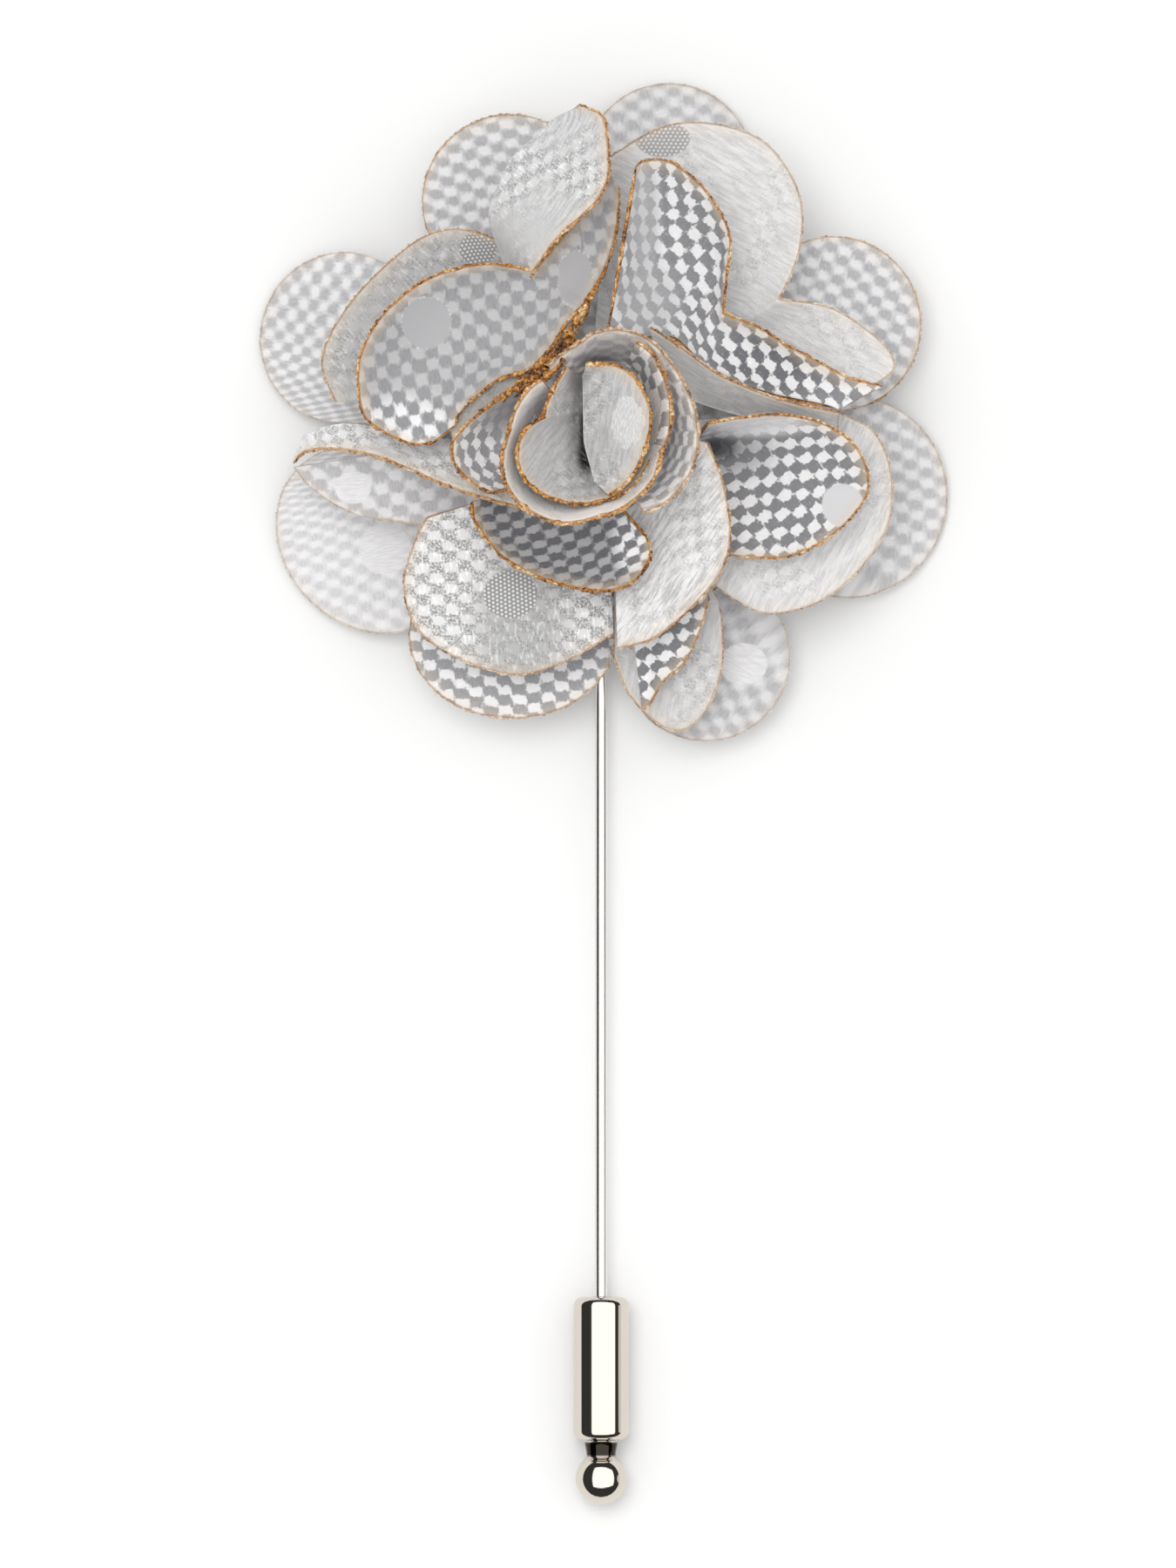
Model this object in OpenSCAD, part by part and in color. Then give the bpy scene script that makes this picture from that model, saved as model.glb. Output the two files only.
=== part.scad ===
/* [Flower] */
// Radius of the flower, from its middle to the tip of the longest rear petal
flower_r = 25; // [20:0.5:32]
// Height of the flower, from the surface it lies on to the rim of the bud
flower_h = 20; // [18:0.5:26]
// Thickness of the folded and singed cloth
cloth_t = 1; // [0.8:0.05:1]
// Share of the flower radius out to the notches of the rear discs
notch_share = 0.58; // [0.5:0.01:0.62]
// Diameter of the rolled stem that carries the bud
stem_d = 5.5; // [3:0.1:6]
// Height of the top rim of the bud's outer wrap above the bottom of its wall
outer_wrap_h = 4; // [2:0.5:4.5]
// Height of the top rim of the bud's middle wrap above the bottom of its wall
middle_wrap_h = 4.6; // [2:0.5:5]

/* [Stick pin] */
// Diameter of the needle
needle_d = 0.9; // [0.7:0.05:1]
// Length of the bare needle, from the flower's edge to the mouth of the cap
needle_l = 45.5; // [30:0.5:70]
// Length of the tapered point that hides in the cap
point_l = 8; // [5:0.5:8.5]
// Diameter of the soldered tang behind the flower
tang_d = 1.3; // [1.25:0.05:1.4]
// Diameter of the pad that is glued to the back of the flower
pad_d = 12; // [8:0.5:16]
// Thickness of the pad
pad_t = 0.8; // [0.5:0.05:0.85]

/* [Pin cap] */
// Diameter of the barrel
cap_d = 4; // [3.6:0.1:4.6]
// Length of the barrel
cap_l = 10.3; // [9.5:0.1:16]
// Depth of the rounded shoulder at each end of the barrel
shoulder = 0.65; // [0.2:0.05:0.7]
// Diameter of the neck
neck_d = 2.3; // [1.6:0.1:2.6]
// Length of the neck between the barrel and the ball
neck_l = 0.9; // [0.8:0.1:3]
// Diameter of the ball
ball_d = 3.7; // [2.8:0.1:4]
// Depth of the bore that holds the point
bore_depth = 9; // [8.6:0.1:9]
// Clearance between the point and the bore, all round
bore_gap = 0.12; // [0.08:0.01:0.2]

/* [Hidden] */
$fn = 48;

// Colours
FRONT_CLOTH = "lightgray";
REVERSE_CLOTH = "whitesmoke";
METAL = "silver";

// Grid of a petal: steps between two rows of its table, and steps from root to rim
ROW_STEPS = 2;
ROOT_TO_RIM_STEPS = 3;
// Grid of a rear disc: steps round it, and steps from its middle to its rim
DISC_STEPS_ROUND = 72;
DISC_STEPS_OUT = 4;

// The bud leans a little off the middle of the flower
BUD_X = -0.025;
BUD_Y = -0.035;
// Share of the flower height at which the walls of the bud start
BUD_BASE = 0.72;
// Gap between the stem and the cloth under and over it
STEM_GAP = 0.2;

// Places along the needle, which lies on the line x = 0 and points to -y
axis_z = cap_d / 2;
needle_root_y = -flower_r * 0.69;
cap_mouth_y = needle_root_y - needle_l;

// Petals. Each row is one section from the root to the rim: columns
// root x, root y, root height, rim x, rim y, rim height, sag, and 1 for smooth or 0 for a corner.
// x, y are shares of flower_r and heights and sag are shares of flower_h.
upper_right_back = [
    [-0.02, 0.22, 0.34, 0.02, 0.755, 0.46, 0.02, 1],
    [0.05, 0.21, 0.34, 0.18, 0.845, 0.45, 0.03, 1],
    [0.08, 0.20, 0.34, 0.335, 0.85, 0.44, 0.03, 1],
    [0.11, 0.19, 0.34, 0.48, 0.79, 0.42, 0.03, 1],
    [0.14, 0.17, 0.34, 0.57, 0.64, 0.41, 0.03, 1],
    [0.16, 0.15, 0.34, 0.565, 0.48, 0.42, 0.03, 1],
    [0.18, 0.13, 0.34, 0.51, 0.35, 0.44, 0.03, 0],
    [0.20, 0.11, 0.34, 0.66, 0.325, 0.43, 0.03, 1],
    [0.22, 0.09, 0.34, 0.80, 0.23, 0.42, 0.02, 1],
    [0.24, 0.07, 0.34, 0.84, 0.155, 0.42, 0.02, 1],
    [0.26, 0.05, 0.34, 0.79, 0.11, 0.43, 0.02, 1]
];
upper_right_front = [
    [0.02, 0.30, 0.80, 0.10, 0.73, 0.74, 0.02, 1],
    [0.06, 0.295, 0.79, 0.125, 0.745, 0.73, 0.08, 1],
    [0.145, 0.28, 0.77, 0.19, 0.745, 0.71, 0.13, 1],
    [0.18, 0.255, 0.74, 0.27, 0.69, 0.68, 0.14, 1],
    [0.21, 0.235, 0.71, 0.335, 0.61, 0.66, 0.13, 1],
    [0.24, 0.21, 0.69, 0.37, 0.52, 0.64, 0.12, 1],
    [0.265, 0.185, 0.66, 0.36, 0.42, 0.62, 0.10, 1],
    [0.305, 0.15, 0.64, 0.35, 0.31, 0.60, 0.07, 0],
    [0.40, 0.105, 0.61, 0.45, 0.27, 0.59, 0.06, 1],
    [0.49, 0.075, 0.59, 0.53, 0.22, 0.58, 0.05, 1],
    [0.56, 0.06, 0.57, 0.615, 0.175, 0.56, 0.04, 1],
    [0.64, 0.045, 0.55, 0.70, 0.13, 0.55, 0.02, 1],
    [0.68, 0.035, 0.54, 0.805, 0.10, 0.54, 0, 1]
];
upper_right_near = [
    [0.20, 0.10, 0.50, 0.15, 0.25, 0.655, 0, 1],
    [0.25, 0.07, 0.50, 0.205, 0.21, 0.625, 0, 1],
    [0.29, 0.05, 0.495, 0.26, 0.165, 0.59, 0, 1],
    [0.34, 0.04, 0.49, 0.325, 0.12, 0.56, 0, 1],
    [0.42, 0.015, 0.48, 0.41, 0.08, 0.535, 0, 1],
    [0.50, 0, 0.47, 0.50, 0.045, 0.515, 0, 1],
    [0.60, -0.01, 0.46, 0.60, 0.02, 0.50, 0, 1],
    [0.68, -0.015, 0.455, 0.70, 0, 0.48, 0, 1]
];
right_front = [
    [0.28, -0.04, 0.52, 0.305, -0.005, 0.66, 0, 1],
    [0.285, -0.055, 0.45, 0.39, 0.01, 0.65, 0.02, 1],
    [0.295, -0.08, 0.43, 0.52, 0.02, 0.63, 0.03, 1],
    [0.30, -0.105, 0.43, 0.645, -0.01, 0.61, 0.03, 1],
    [0.305, -0.13, 0.43, 0.735, -0.08, 0.59, 0.03, 1],
    [0.31, -0.16, 0.435, 0.765, -0.18, 0.57, 0.03, 1],
    [0.315, -0.195, 0.445, 0.73, -0.26, 0.55, 0.03, 1],
    [0.32, -0.235, 0.455, 0.64, -0.34, 0.53, 0.03, 1],
    [0.325, -0.27, 0.465, 0.54, -0.385, 0.51, 0.02, 1],
    [0.33, -0.31, 0.475, 0.425, -0.39, 0.50, 0.01, 1],
    [0.33, -0.345, 0.48, 0.36, -0.38, 0.49, 0, 1]
];
right_back = [
    [0.15, 0, 0.35, 0.68, 0.025, 0.375, 0, 1],
    [0.155, -0.02, 0.35, 0.78, -0.03, 0.37, 0, 1],
    [0.155, -0.04, 0.355, 0.83, -0.145, 0.37, 0, 1],
    [0.155, -0.06, 0.36, 0.82, -0.30, 0.37, 0, 1],
    [0.15, -0.08, 0.365, 0.73, -0.435, 0.37, 0, 1],
    [0.145, -0.10, 0.37, 0.615, -0.52, 0.375, 0, 1],
    [0.14, -0.115, 0.375, 0.48, -0.55, 0.38, 0, 1],
    [0.13, -0.13, 0.38, 0.385, -0.51, 0.38, 0, 1],
    [0.12, -0.14, 0.38, 0.335, -0.475, 0.38, 0, 1]
];
lower_right_front = [
    [0.21, -0.04, 0.60, 0.305, -0.06, 0.655, -0.01, 1],
    [0.20, -0.10, 0.59, 0.34, -0.155, 0.66, -0.03, 1],
    [0.19, -0.15, 0.575, 0.365, -0.265, 0.65, -0.03, 1],
    [0.165, -0.185, 0.56, 0.365, -0.365, 0.63, -0.03, 1],
    [0.14, -0.21, 0.54, 0.33, -0.45, 0.61, -0.03, 1],
    [0.115, -0.23, 0.52, 0.25, -0.54, 0.58, -0.03, 1],
    [0.08, -0.25, 0.50, 0.15, -0.62, 0.55, -0.03, 1],
    [0.04, -0.27, 0.49, 0.045, -0.65, 0.53, -0.02, 1]
];
lower_right_back = [
    [0.04, -0.30, 0.32, 0.035, -0.67, 0.31, 0, 1],
    [0.07, -0.30, 0.32, 0.08, -0.78, 0.30, 0, 1],
    [0.10, -0.30, 0.32, 0.17, -0.87, 0.29, 0, 1],
    [0.125, -0.30, 0.32, 0.245, -0.88, 0.29, 0, 1],
    [0.145, -0.30, 0.32, 0.31, -0.81, 0.295, 0, 1],
    [0.16, -0.30, 0.32, 0.345, -0.70, 0.30, 0, 1],
    [0.175, -0.295, 0.315, 0.345, -0.58, 0.305, 0, 1],
    [0.215, -0.245, 0.315, 0.3275, -0.505, 0.31, 0, 1]
];
lower_right_flap = [
    [0.19, -0.28, 0.44, 0.31, -0.505, 0.455, 0, 1],
    [0.17, -0.285, 0.425, 0.285, -0.59, 0.45, 0, 1],
    [0.145, -0.29, 0.41, 0.245, -0.68, 0.44, 0, 1],
    [0.12, -0.30, 0.41, 0.18, -0.745, 0.42, 0, 1],
    [0.095, -0.305, 0.41, 0.145, -0.80, 0.40, 0, 1],
    [0.06, -0.31, 0.41, 0.12, -0.83, 0.38, 0, 1]
];
bottom_front = [
    [-0.27, -0.20, 0.49, -0.37, -0.23, 0.56, 0.01, 1],
    [-0.25, -0.225, 0.50, -0.36, -0.29, 0.58, 0.02, 1],
    [-0.21, -0.245, 0.52, -0.28, -0.39, 0.61, 0.04, 1],
    [-0.15, -0.26, 0.54, -0.155, -0.455, 0.63, 0.04, 1],
    [-0.08, -0.265, 0.56, -0.015, -0.485, 0.65, 0.04, 1],
    [-0.02, -0.265, 0.58, 0.085, -0.465, 0.66, 0.03, 1],
    [0.03, -0.26, 0.60, 0.14, -0.39, 0.66, 0.02, 1],
    [0.045, -0.235, 0.60, 0.13, -0.33, 0.66, 0, 1]
];
bottom_back = [
    [-0.225, -0.19, 0.40, -0.50, -0.275, 0.45, -0.01, 1],
    [-0.205, -0.21, 0.40, -0.54, -0.365, 0.44, -0.02, 1],
    [-0.18, -0.23, 0.40, -0.565, -0.48, 0.43, -0.02, 1],
    [-0.15, -0.24, 0.40, -0.52, -0.60, 0.42, -0.02, 1],
    [-0.11, -0.25, 0.40, -0.405, -0.68, 0.41, -0.02, 1],
    [-0.075, -0.255, 0.40, -0.245, -0.725, 0.41, -0.02, 1],
    [-0.04, -0.255, 0.40, -0.11, -0.69, 0.42, -0.02, 1],
    [-0.005, -0.245, 0.40, -0.01, -0.635, 0.42, -0.01, 1],
    [0.02, -0.23, 0.40, 0.03, -0.61, 0.42, -0.01, 1]
];
left_back = [
    [-0.28, -0.04, 0.345, -0.88, -0.13, 0.27, 0, 1],
    [-0.275, -0.06, 0.345, -0.84, -0.18, 0.27, 0, 1],
    [-0.265, -0.08, 0.345, -0.775, -0.23, 0.28, 0, 1],
    [-0.25, -0.10, 0.34, -0.705, -0.265, 0.29, 0, 1],
    [-0.23, -0.12, 0.335, -0.63, -0.28, 0.30, 0, 1],
    [-0.21, -0.14, 0.33, -0.55, -0.29, 0.31, 0, 1],
    [-0.18, -0.175, 0.33, -0.48, -0.305, 0.32, 0, 1]
];
left_front = [
    [-0.85, -0.04, 0.35, -0.88, -0.12, 0.35, 0, 1],
    [-0.79, -0.02, 0.38, -0.85, -0.09, 0.40, 0, 1],
    [-0.725, -0.01, 0.42, -0.79, -0.08, 0.46, 0, 1],
    [-0.65, -0.02, 0.46, -0.72, -0.085, 0.52, 0, 1],
    [-0.575, -0.04, 0.48, -0.65, -0.10, 0.56, 0, 1],
    [-0.475, -0.055, 0.50, -0.545, -0.14, 0.61, 0, 1],
    [-0.39, -0.08, 0.52, -0.43, -0.19, 0.65, 0, 1],
    [-0.30, -0.11, 0.53, -0.315, -0.225, 0.65, 0, 1],
    [-0.22, -0.14, 0.53, -0.225, -0.25, 0.60, 0, 1]
];
left_pocket = [
    [-0.24, 0.035, 0.61, -0.30, 0.06, 0.78, 0.02, 1],
    [-0.245, -0.015, 0.60, -0.375, 0, 0.78, 0.04, 1],
    [-0.24, -0.065, 0.61, -0.425, -0.06, 0.77, 0.05, 1],
    [-0.235, -0.115, 0.61, -0.415, -0.13, 0.76, 0.04, 1],
    [-0.225, -0.155, 0.63, -0.35, -0.19, 0.76, 0.02, 1],
    [-0.215, -0.18, 0.635, -0.31, -0.205, 0.755, 0, 1]
];
upper_left_back = [
    [-0.20, 0.09, 0.305, -0.76, 0.055, 0.40, 0, 1],
    [-0.20, 0.11, 0.305, -0.80, 0.16, 0.42, 0, 1],
    [-0.195, 0.13, 0.305, -0.77, 0.26, 0.43, 0, 1],
    [-0.19, 0.15, 0.305, -0.68, 0.385, 0.44, 0, 1],
    [-0.175, 0.17, 0.305, -0.54, 0.51, 0.45, 0, 1],
    [-0.16, 0.19, 0.305, -0.44, 0.55, 0.45, 0, 1],
    [-0.14, 0.20, 0.305, -0.35, 0.54, 0.46, 0, 1],
    [-0.11, 0.21, 0.305, -0.22, 0.485, 0.47, 0, 1]
];
upper_left_front = [
    [-0.415, -0.01, 0.695, -0.48, -0.062, 0.67, 0, 1],
    [-0.405, 0.02, 0.70, -0.55, -0.062, 0.67, 0.02, 1],
    [-0.38, 0.05, 0.735, -0.655, -0.01, 0.68, 0.07, 1],
    [-0.35, 0.075, 0.76, -0.69, 0.055, 0.69, 0.10, 1],
    [-0.29, 0.12, 0.78, -0.69, 0.185, 0.70, 0.12, 1],
    [-0.21, 0.17, 0.79, -0.62, 0.31, 0.70, 0.12, 1],
    [-0.145, 0.23, 0.80, -0.49, 0.41, 0.70, 0.11, 1],
    [-0.095, 0.285, 0.80, -0.33, 0.45, 0.70, 0.09, 1],
    [-0.04, 0.34, 0.76, -0.195, 0.43, 0.70, 0.06, 0],
    [0.01, 0.43, 0.71, -0.13, 0.505, 0.66, 0.03, 1],
    [0.04, 0.52, 0.69, -0.06, 0.59, 0.65, 0.02, 1],
    [0.05, 0.61, 0.66, -0.005, 0.665, 0.64, 0, 1],
    [0.05, 0.67, 0.64, 0.005, 0.73, 0.64, 0, 1]
];
upper_left_lobe = [
    [-0.305, 0.52, 0.56, -0.18, 0.455, 0.77, 0, 1],
    [-0.325, 0.555, 0.54, -0.16, 0.485, 0.78, 0, 1],
    [-0.315, 0.60, 0.54, -0.115, 0.53, 0.79, 0, 1],
    [-0.31, 0.63, 0.54, -0.06, 0.58, 0.80, 0, 1],
    [-0.29, 0.675, 0.54, -0.01, 0.63, 0.81, 0, 1],
    [-0.27, 0.72, 0.54, 0.02, 0.695, 0.81, 0, 1],
    [-0.25, 0.755, 0.54, 0.0225, 0.755, 0.80, 0, 1],
    [-0.21, 0.79, 0.54, 0.015, 0.845, 0.78, 0, 1],
    [-0.17, 0.825, 0.54, -0.005, 0.88, 0.76, 0, 1],
    [-0.135, 0.86, 0.54, -0.06, 0.905, 0.72, 0, 1]
];
bud_right = [
    [-0.0475, 0.13, 0.86, -0.045, 0.162, 0.95, 0, 1],
    [-0.0475, 0.11, 0.86, 0, 0.163, 0.96, 0, 1],
    [-0.0475, 0.08, 0.86, 0.045, 0.158, 0.96, -0.01, 1],
    [-0.0475, 0.05, 0.86, 0.09, 0.13, 0.96, -0.02, 1],
    [-0.0475, 0.01, 0.86, 0.12, 0.085, 0.96, -0.02, 1],
    [-0.0475, -0.03, 0.85, 0.14, 0.035, 0.96, -0.02, 1],
    [-0.045, -0.07, 0.84, 0.14, -0.02, 0.96, -0.02, 1],
    [-0.04, -0.10, 0.83, 0.127, -0.075, 0.95, -0.02, 1],
    [-0.03, -0.12, 0.83, 0.097, -0.12, 0.94, -0.02, 1],
    [-0.02, -0.13, 0.83, 0.057, -0.15, 0.93, -0.01, 1],
    [-0.012, -0.145, 0.83, 0.018, -0.17, 0.92, 0, 1]
];
bud_left = [
    [-0.065, 0.10, 0.73, -0.11, 0.12, 0.94, 0, 1],
    [-0.06, 0.07, 0.73, -0.155, 0.06, 0.92, 0.01, 0],
    [-0.055, 0.04, 0.73, -0.19, -0.01, 0.94, 0.02, 1],
    [-0.05, 0.01, 0.73, -0.20, -0.065, 0.94, 0.02, 1],
    [-0.045, -0.02, 0.73, -0.207, -0.115, 0.94, 0.02, 1],
    [-0.04, -0.045, 0.73, -0.20, -0.15, 0.93, 0.02, 1],
    [-0.035, -0.07, 0.73, -0.17, -0.19, 0.92, 0.02, 1],
    [-0.03, -0.09, 0.73, -0.12, -0.22, 0.92, 0.02, 1],
    [-0.022, -0.11, 0.73, -0.08, -0.235, 0.90, 0.01, 1],
    [-0.008, -0.12, 0.73, -0.035, -0.228, 0.86, 0, 1],
    [0.012, -0.12, 0.73, 0.018, -0.205, 0.83, 0, 1],
    [0.034, -0.105, 0.735, 0.068, -0.172, 0.82, 0, 1],
    [0.05, -0.085, 0.74, 0.10, -0.128, 0.82, 0, 1],
    [0.06, -0.06, 0.74, 0.118, -0.08, 0.82, 0, 1]
];

// Petal nodes: columns name, table, colour
PETALS = [
    ["upper_right_back_petal", upper_right_back, REVERSE_CLOTH],
    ["upper_right_front_petal", upper_right_front, FRONT_CLOTH],
    ["upper_right_near_petal", upper_right_near, REVERSE_CLOTH],
    ["right_front_petal", right_front, FRONT_CLOTH],
    ["right_back_petal", right_back, REVERSE_CLOTH],
    ["lower_right_front_petal", lower_right_front, REVERSE_CLOTH],
    ["lower_right_back_petal", lower_right_back, REVERSE_CLOTH],
    ["lower_right_flap", lower_right_flap, FRONT_CLOTH],
    ["bottom_front_petal", bottom_front, FRONT_CLOTH],
    ["bottom_back_petal", bottom_back, REVERSE_CLOTH],
    ["left_back_petal", left_back, FRONT_CLOTH],
    ["left_front_petal", left_front, REVERSE_CLOTH],
    ["left_pocket_petal", left_pocket, FRONT_CLOTH],
    ["upper_left_back_petal", upper_left_back, REVERSE_CLOTH],
    ["upper_left_front_petal", upper_left_front, FRONT_CLOTH],
    ["upper_left_lobe", upper_left_lobe, REVERSE_CLOTH],
    ["bud_right_leaf", bud_right, REVERSE_CLOTH],
    ["bud_left_leaf", bud_left, REVERSE_CLOTH]
];

// Lobes of the rear discs: columns azimuth, reach of the lobe's middle, half size
// along its own line, half size across it, direction of that line, tip height.
// Lengths are shares of flower_r, heights are shares of flower_h.
REAR_LOBES = [
    [75, 0.76, 0.235, 0.24, 75, 0.035],
    [-17, 0.744, 0.28, 0.288, -17, 0.03],
    [-66, 0.743, 0.237, 0.24, -66, 0.13],
    [-153, 0.745, 0.245, 0.29, -135, 0.03],
    [162, 0.78, 0.235, 0.245, 162, 0.03]
];
REAR_MIDDLE = 0.18;
// Gap between the pad and the cloth that it is glued to
PAD_GAP = 0.4;
pad_top = flower_h * REAR_MIDDLE - cloth_t / 2 - PAD_GAP;
SECOND_LOBES = [
    [22.7, 0.726, 0.247, 0.25, 22.7, 0.15],
    [-112.5, 0.666, 0.235, 0.295, -90, 0.21],
    [112.5, 0.687, 0.245, 0.25, 112.5, 0.15]
];
SECOND_MIDDLE = 0.245;

// Wraps of the bud: columns azimuth and reach of the outer face of the wall
OUTER_WRAP = [
    [123, 0.24], [110, 0.254], [97, 0.275], [88, 0.30], [75, 0.318], [60, 0.325], [45, 0.315], [28, 0.31],
    [10, 0.312], [-10, 0.315], [-25, 0.312], [-40, 0.302], [-57, 0.282]
];
MIDDLE_WRAP = [
    [48, 0.255], [32, 0.252], [10, 0.238], [-10, 0.218], [-27, 0.212], [-45, 0.222],
    [-65, 0.236], [-87, 0.25], [-106, 0.27], [-121, 0.283], [-135, 0.295],
    [-150, 0.295], [-165, 0.278], [-180, 0.252], [-200, 0.24], [-215, 0.232], [-226, 0.222]
];

// Steps a smooth curve through a table's rows; the last column turns a row into a corner
function tangent(rows, i) =
    let (n = len(rows) - 1, last = len(rows[0]) - 1)
    rows[i][last] * (rows[min(i + 1, n)] - rows[max(i - 1, 0)]) / 2;
function between(rows, s) =
    let (
        i = min(floor(s), len(rows) - 2),
        t = s - i,
        m0 = tangent(rows, i),
        m1 = tangent(rows, i + 1)
    )
    (2 * pow(t, 3) - 3 * pow(t, 2) + 1) * rows[i] + (pow(t, 3) - 2 * pow(t, 2) + t) * m0
    + (3 * pow(t, 2) - 2 * pow(t, 3)) * rows[i + 1] + (pow(t, 3) - pow(t, 2)) * m1;

// A point of a petal: v runs from its root to its rim
function petal_point(row, v) = [
    flower_r * (row[0] + (row[3] - row[0]) * v),
    flower_r * (row[1] + (row[4] - row[1]) * v),
    flower_h * (row[2] + (row[5] - row[2]) * v - row[6] * 4 * v * (1 - v))
];
function petal_grid(rows) = [
    for (k = [0:(len(rows) - 1) * ROW_STEPS])
        let (row = between(rows, k / ROW_STEPS))
        [for (j = [0:ROOT_TO_RIM_STEPS]) petal_point(row, j / ROOT_TO_RIM_STEPS)]
];

// A wall of the bud: it stands on its base and follows a table of azimuth and reach
function wrap_grid(rows, height) =
    let (smooth = [for (row = rows) [row[0], row[1], 1]])
    [
        for (k = [0:(len(rows) - 1) * ROW_STEPS])
            let (row = between(smooth, k / ROW_STEPS), reach = flower_r * row[1] - cloth_t / 2)
            [
                for (j = [0:2]) [
                    flower_r * BUD_X + reach * cos(row[0]),
                    flower_r * BUD_Y + reach * sin(row[0]),
                    flower_h * BUD_BASE + cloth_t / 2 + height * j / 2
                ]
            ]
    ];

function unit(v) = v / max(norm(v), 1e-9);
function grid_normal(grid, i, j) =
    let (n = len(grid) - 1, m = len(grid[0]) - 1)
    unit(cross(
        grid[min(i + 1, n)][j] - grid[max(i - 1, 0)][j],
        grid[i][min(j + 1, m)] - grid[i][max(j - 1, 0)]
    ));

// A sheet of cloth: a closed solid of even thickness round a grid of points
module sheet(grid) {
    n = len(grid);
    m = len(grid[0]);
    sides = [cloth_t / 2, -cloth_t / 2];
    points = [
        for (side = sides, i = [0:n - 1], j = [0:m - 1])
            grid[i][j] + side * grid_normal(grid, i, j)
    ];
    function at(side, i, j) = side * n * m + i * m + j;
    skin = [
        for (i = [0:n - 2], j = [0:m - 2]) each [
            [at(0, i, j), at(0, i + 1, j + 1), at(0, i + 1, j)],
            [at(0, i, j), at(0, i, j + 1), at(0, i + 1, j + 1)],
            [at(1, i, j), at(1, i + 1, j), at(1, i + 1, j + 1)],
            [at(1, i, j), at(1, i + 1, j + 1), at(1, i, j + 1)]
        ]
    ];
    long_edges = [
        for (i = [0:n - 2], j = [0, m - 1])
            let (a = at(0, i, j), b = at(0, i + 1, j), c = at(1, i + 1, j), d = at(1, i, j))
            each (j == 0 ? [[a, b, c], [a, c, d]] : [[a, c, b], [a, d, c]])
    ];
    short_edges = [
        for (j = [0:m - 2], i = [0, n - 1])
            let (a = at(0, i, j), b = at(0, i, j + 1), c = at(1, i, j + 1), d = at(1, i, j))
            each (i == 0 ? [[a, c, b], [a, d, c]] : [[a, b, c], [a, c, d]])
    ];
    polyhedron(points, concat(skin, long_edges, short_edges), convexity = 6);
}

// Reach of a lobe along a ray from the flower's middle, or 0 where the ray misses it
function lobe_reach(lobe, azimuth) =
    let (
        cx = lobe[1] * cos(lobe[0] - lobe[4]),
        cy = lobe[1] * sin(lobe[0] - lobe[4]),
        ux = cos(azimuth - lobe[4]) / lobe[2],
        uy = sin(azimuth - lobe[4]) / lobe[3],
        a = ux * ux + uy * uy,
        b = ux * cx / lobe[2] + uy * cy / lobe[3],
        c = pow(cx / lobe[2], 2) + pow(cy / lobe[3], 2) - 1,
        root = b * b - a * c
    )
    root < 0 || b < 0 ? 0 : (b + sqrt(root)) / a;
function disc_reach(lobes, azimuth) =
    max(concat([notch_share], [for (lobe = lobes) lobe_reach(lobe, azimuth)]));

// Tip height round a disc: near a lobe it is the lobe's, and over the needle it doesn't droop
function turn_between(a, b) = abs((a - b + 540) % 360 - 180);
function disc_tip(lobes, middle, azimuth) =
    let (
        weights = [for (lobe = lobes) 1 / (pow(turn_between(azimuth, lobe[0]), 2) + 60)],
        needle_weight = 3 / (pow(turn_between(azimuth, -90), 2) + 60)
    )
    (weights * [for (lobe = lobes) lobe[5]] + needle_weight * middle)
    / (weights * [for (lobe = lobes) 1] + needle_weight);

function disc_point(lobes, middle, azimuth, share) =
    let (
        reach = disc_reach(lobes, azimuth),
        drop = (middle - disc_tip(lobes, middle, azimuth)) * pow(reach, 2) * pow(share, 2)
    )
    [
        flower_r * reach * share * cos(azimuth),
        flower_r * reach * share * sin(azimuth),
        flower_h * (middle - drop)
    ];

// A scalloped disc of cloth, flattened where it meets the surface
module scalloped_disc(lobes, middle) {
    n = DISC_STEPS_ROUND;
    m = DISC_STEPS_OUT;
    half = [0, 0, cloth_t / 2];
    ring_points = [
        for (i = [0:n - 1], j = [1:m]) disc_point(lobes, middle, i * 360 / n, j / m)
    ];
    hub = [0, 0, flower_h * middle];
    function on_surface(p) = [p.x, p.y, max(p.z, 0)];
    points = concat(
        [for (p = ring_points) on_surface(p - half) + [0, 0, cloth_t]],
        [for (p = ring_points) on_surface(p - half)],
        [hub + half, hub - half]
    );
    function at(side, i, j) = side * n * m + (i % n) * m + j - 1;
    top_hub = 2 * n * m;
    skin = [
        for (i = [0:n - 1], j = [1:m - 1]) each [
            [at(0, i, j), at(0, i + 1, j + 1), at(0, i, j + 1)],
            [at(0, i, j), at(0, i + 1, j), at(0, i + 1, j + 1)],
            [at(1, i, j), at(1, i, j + 1), at(1, i + 1, j + 1)],
            [at(1, i, j), at(1, i + 1, j + 1), at(1, i + 1, j)]
        ]
    ];
    hubs = [
        for (i = [0:n - 1]) each [
            [top_hub, at(0, i + 1, 1), at(0, i, 1)],
            [top_hub + 1, at(1, i, 1), at(1, i + 1, 1)]
        ]
    ];
    rim = [
        for (i = [0:n - 1]) each [
            [at(0, i, m), at(0, i + 1, m), at(1, i + 1, m)],
            [at(0, i, m), at(1, i + 1, m), at(1, i, m)]
        ]
    ];
    polyhedron(points, concat(skin, hubs, rim), convexity = 4);
}

module petal(name) {
    for (row = PETALS)
        if (row[0] == name)
            color(row[2]) sheet(petal_grid(row[1]));
}

module rear_disc() {
    color(FRONT_CLOTH) scalloped_disc(REAR_LOBES, REAR_MIDDLE);
}

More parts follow.
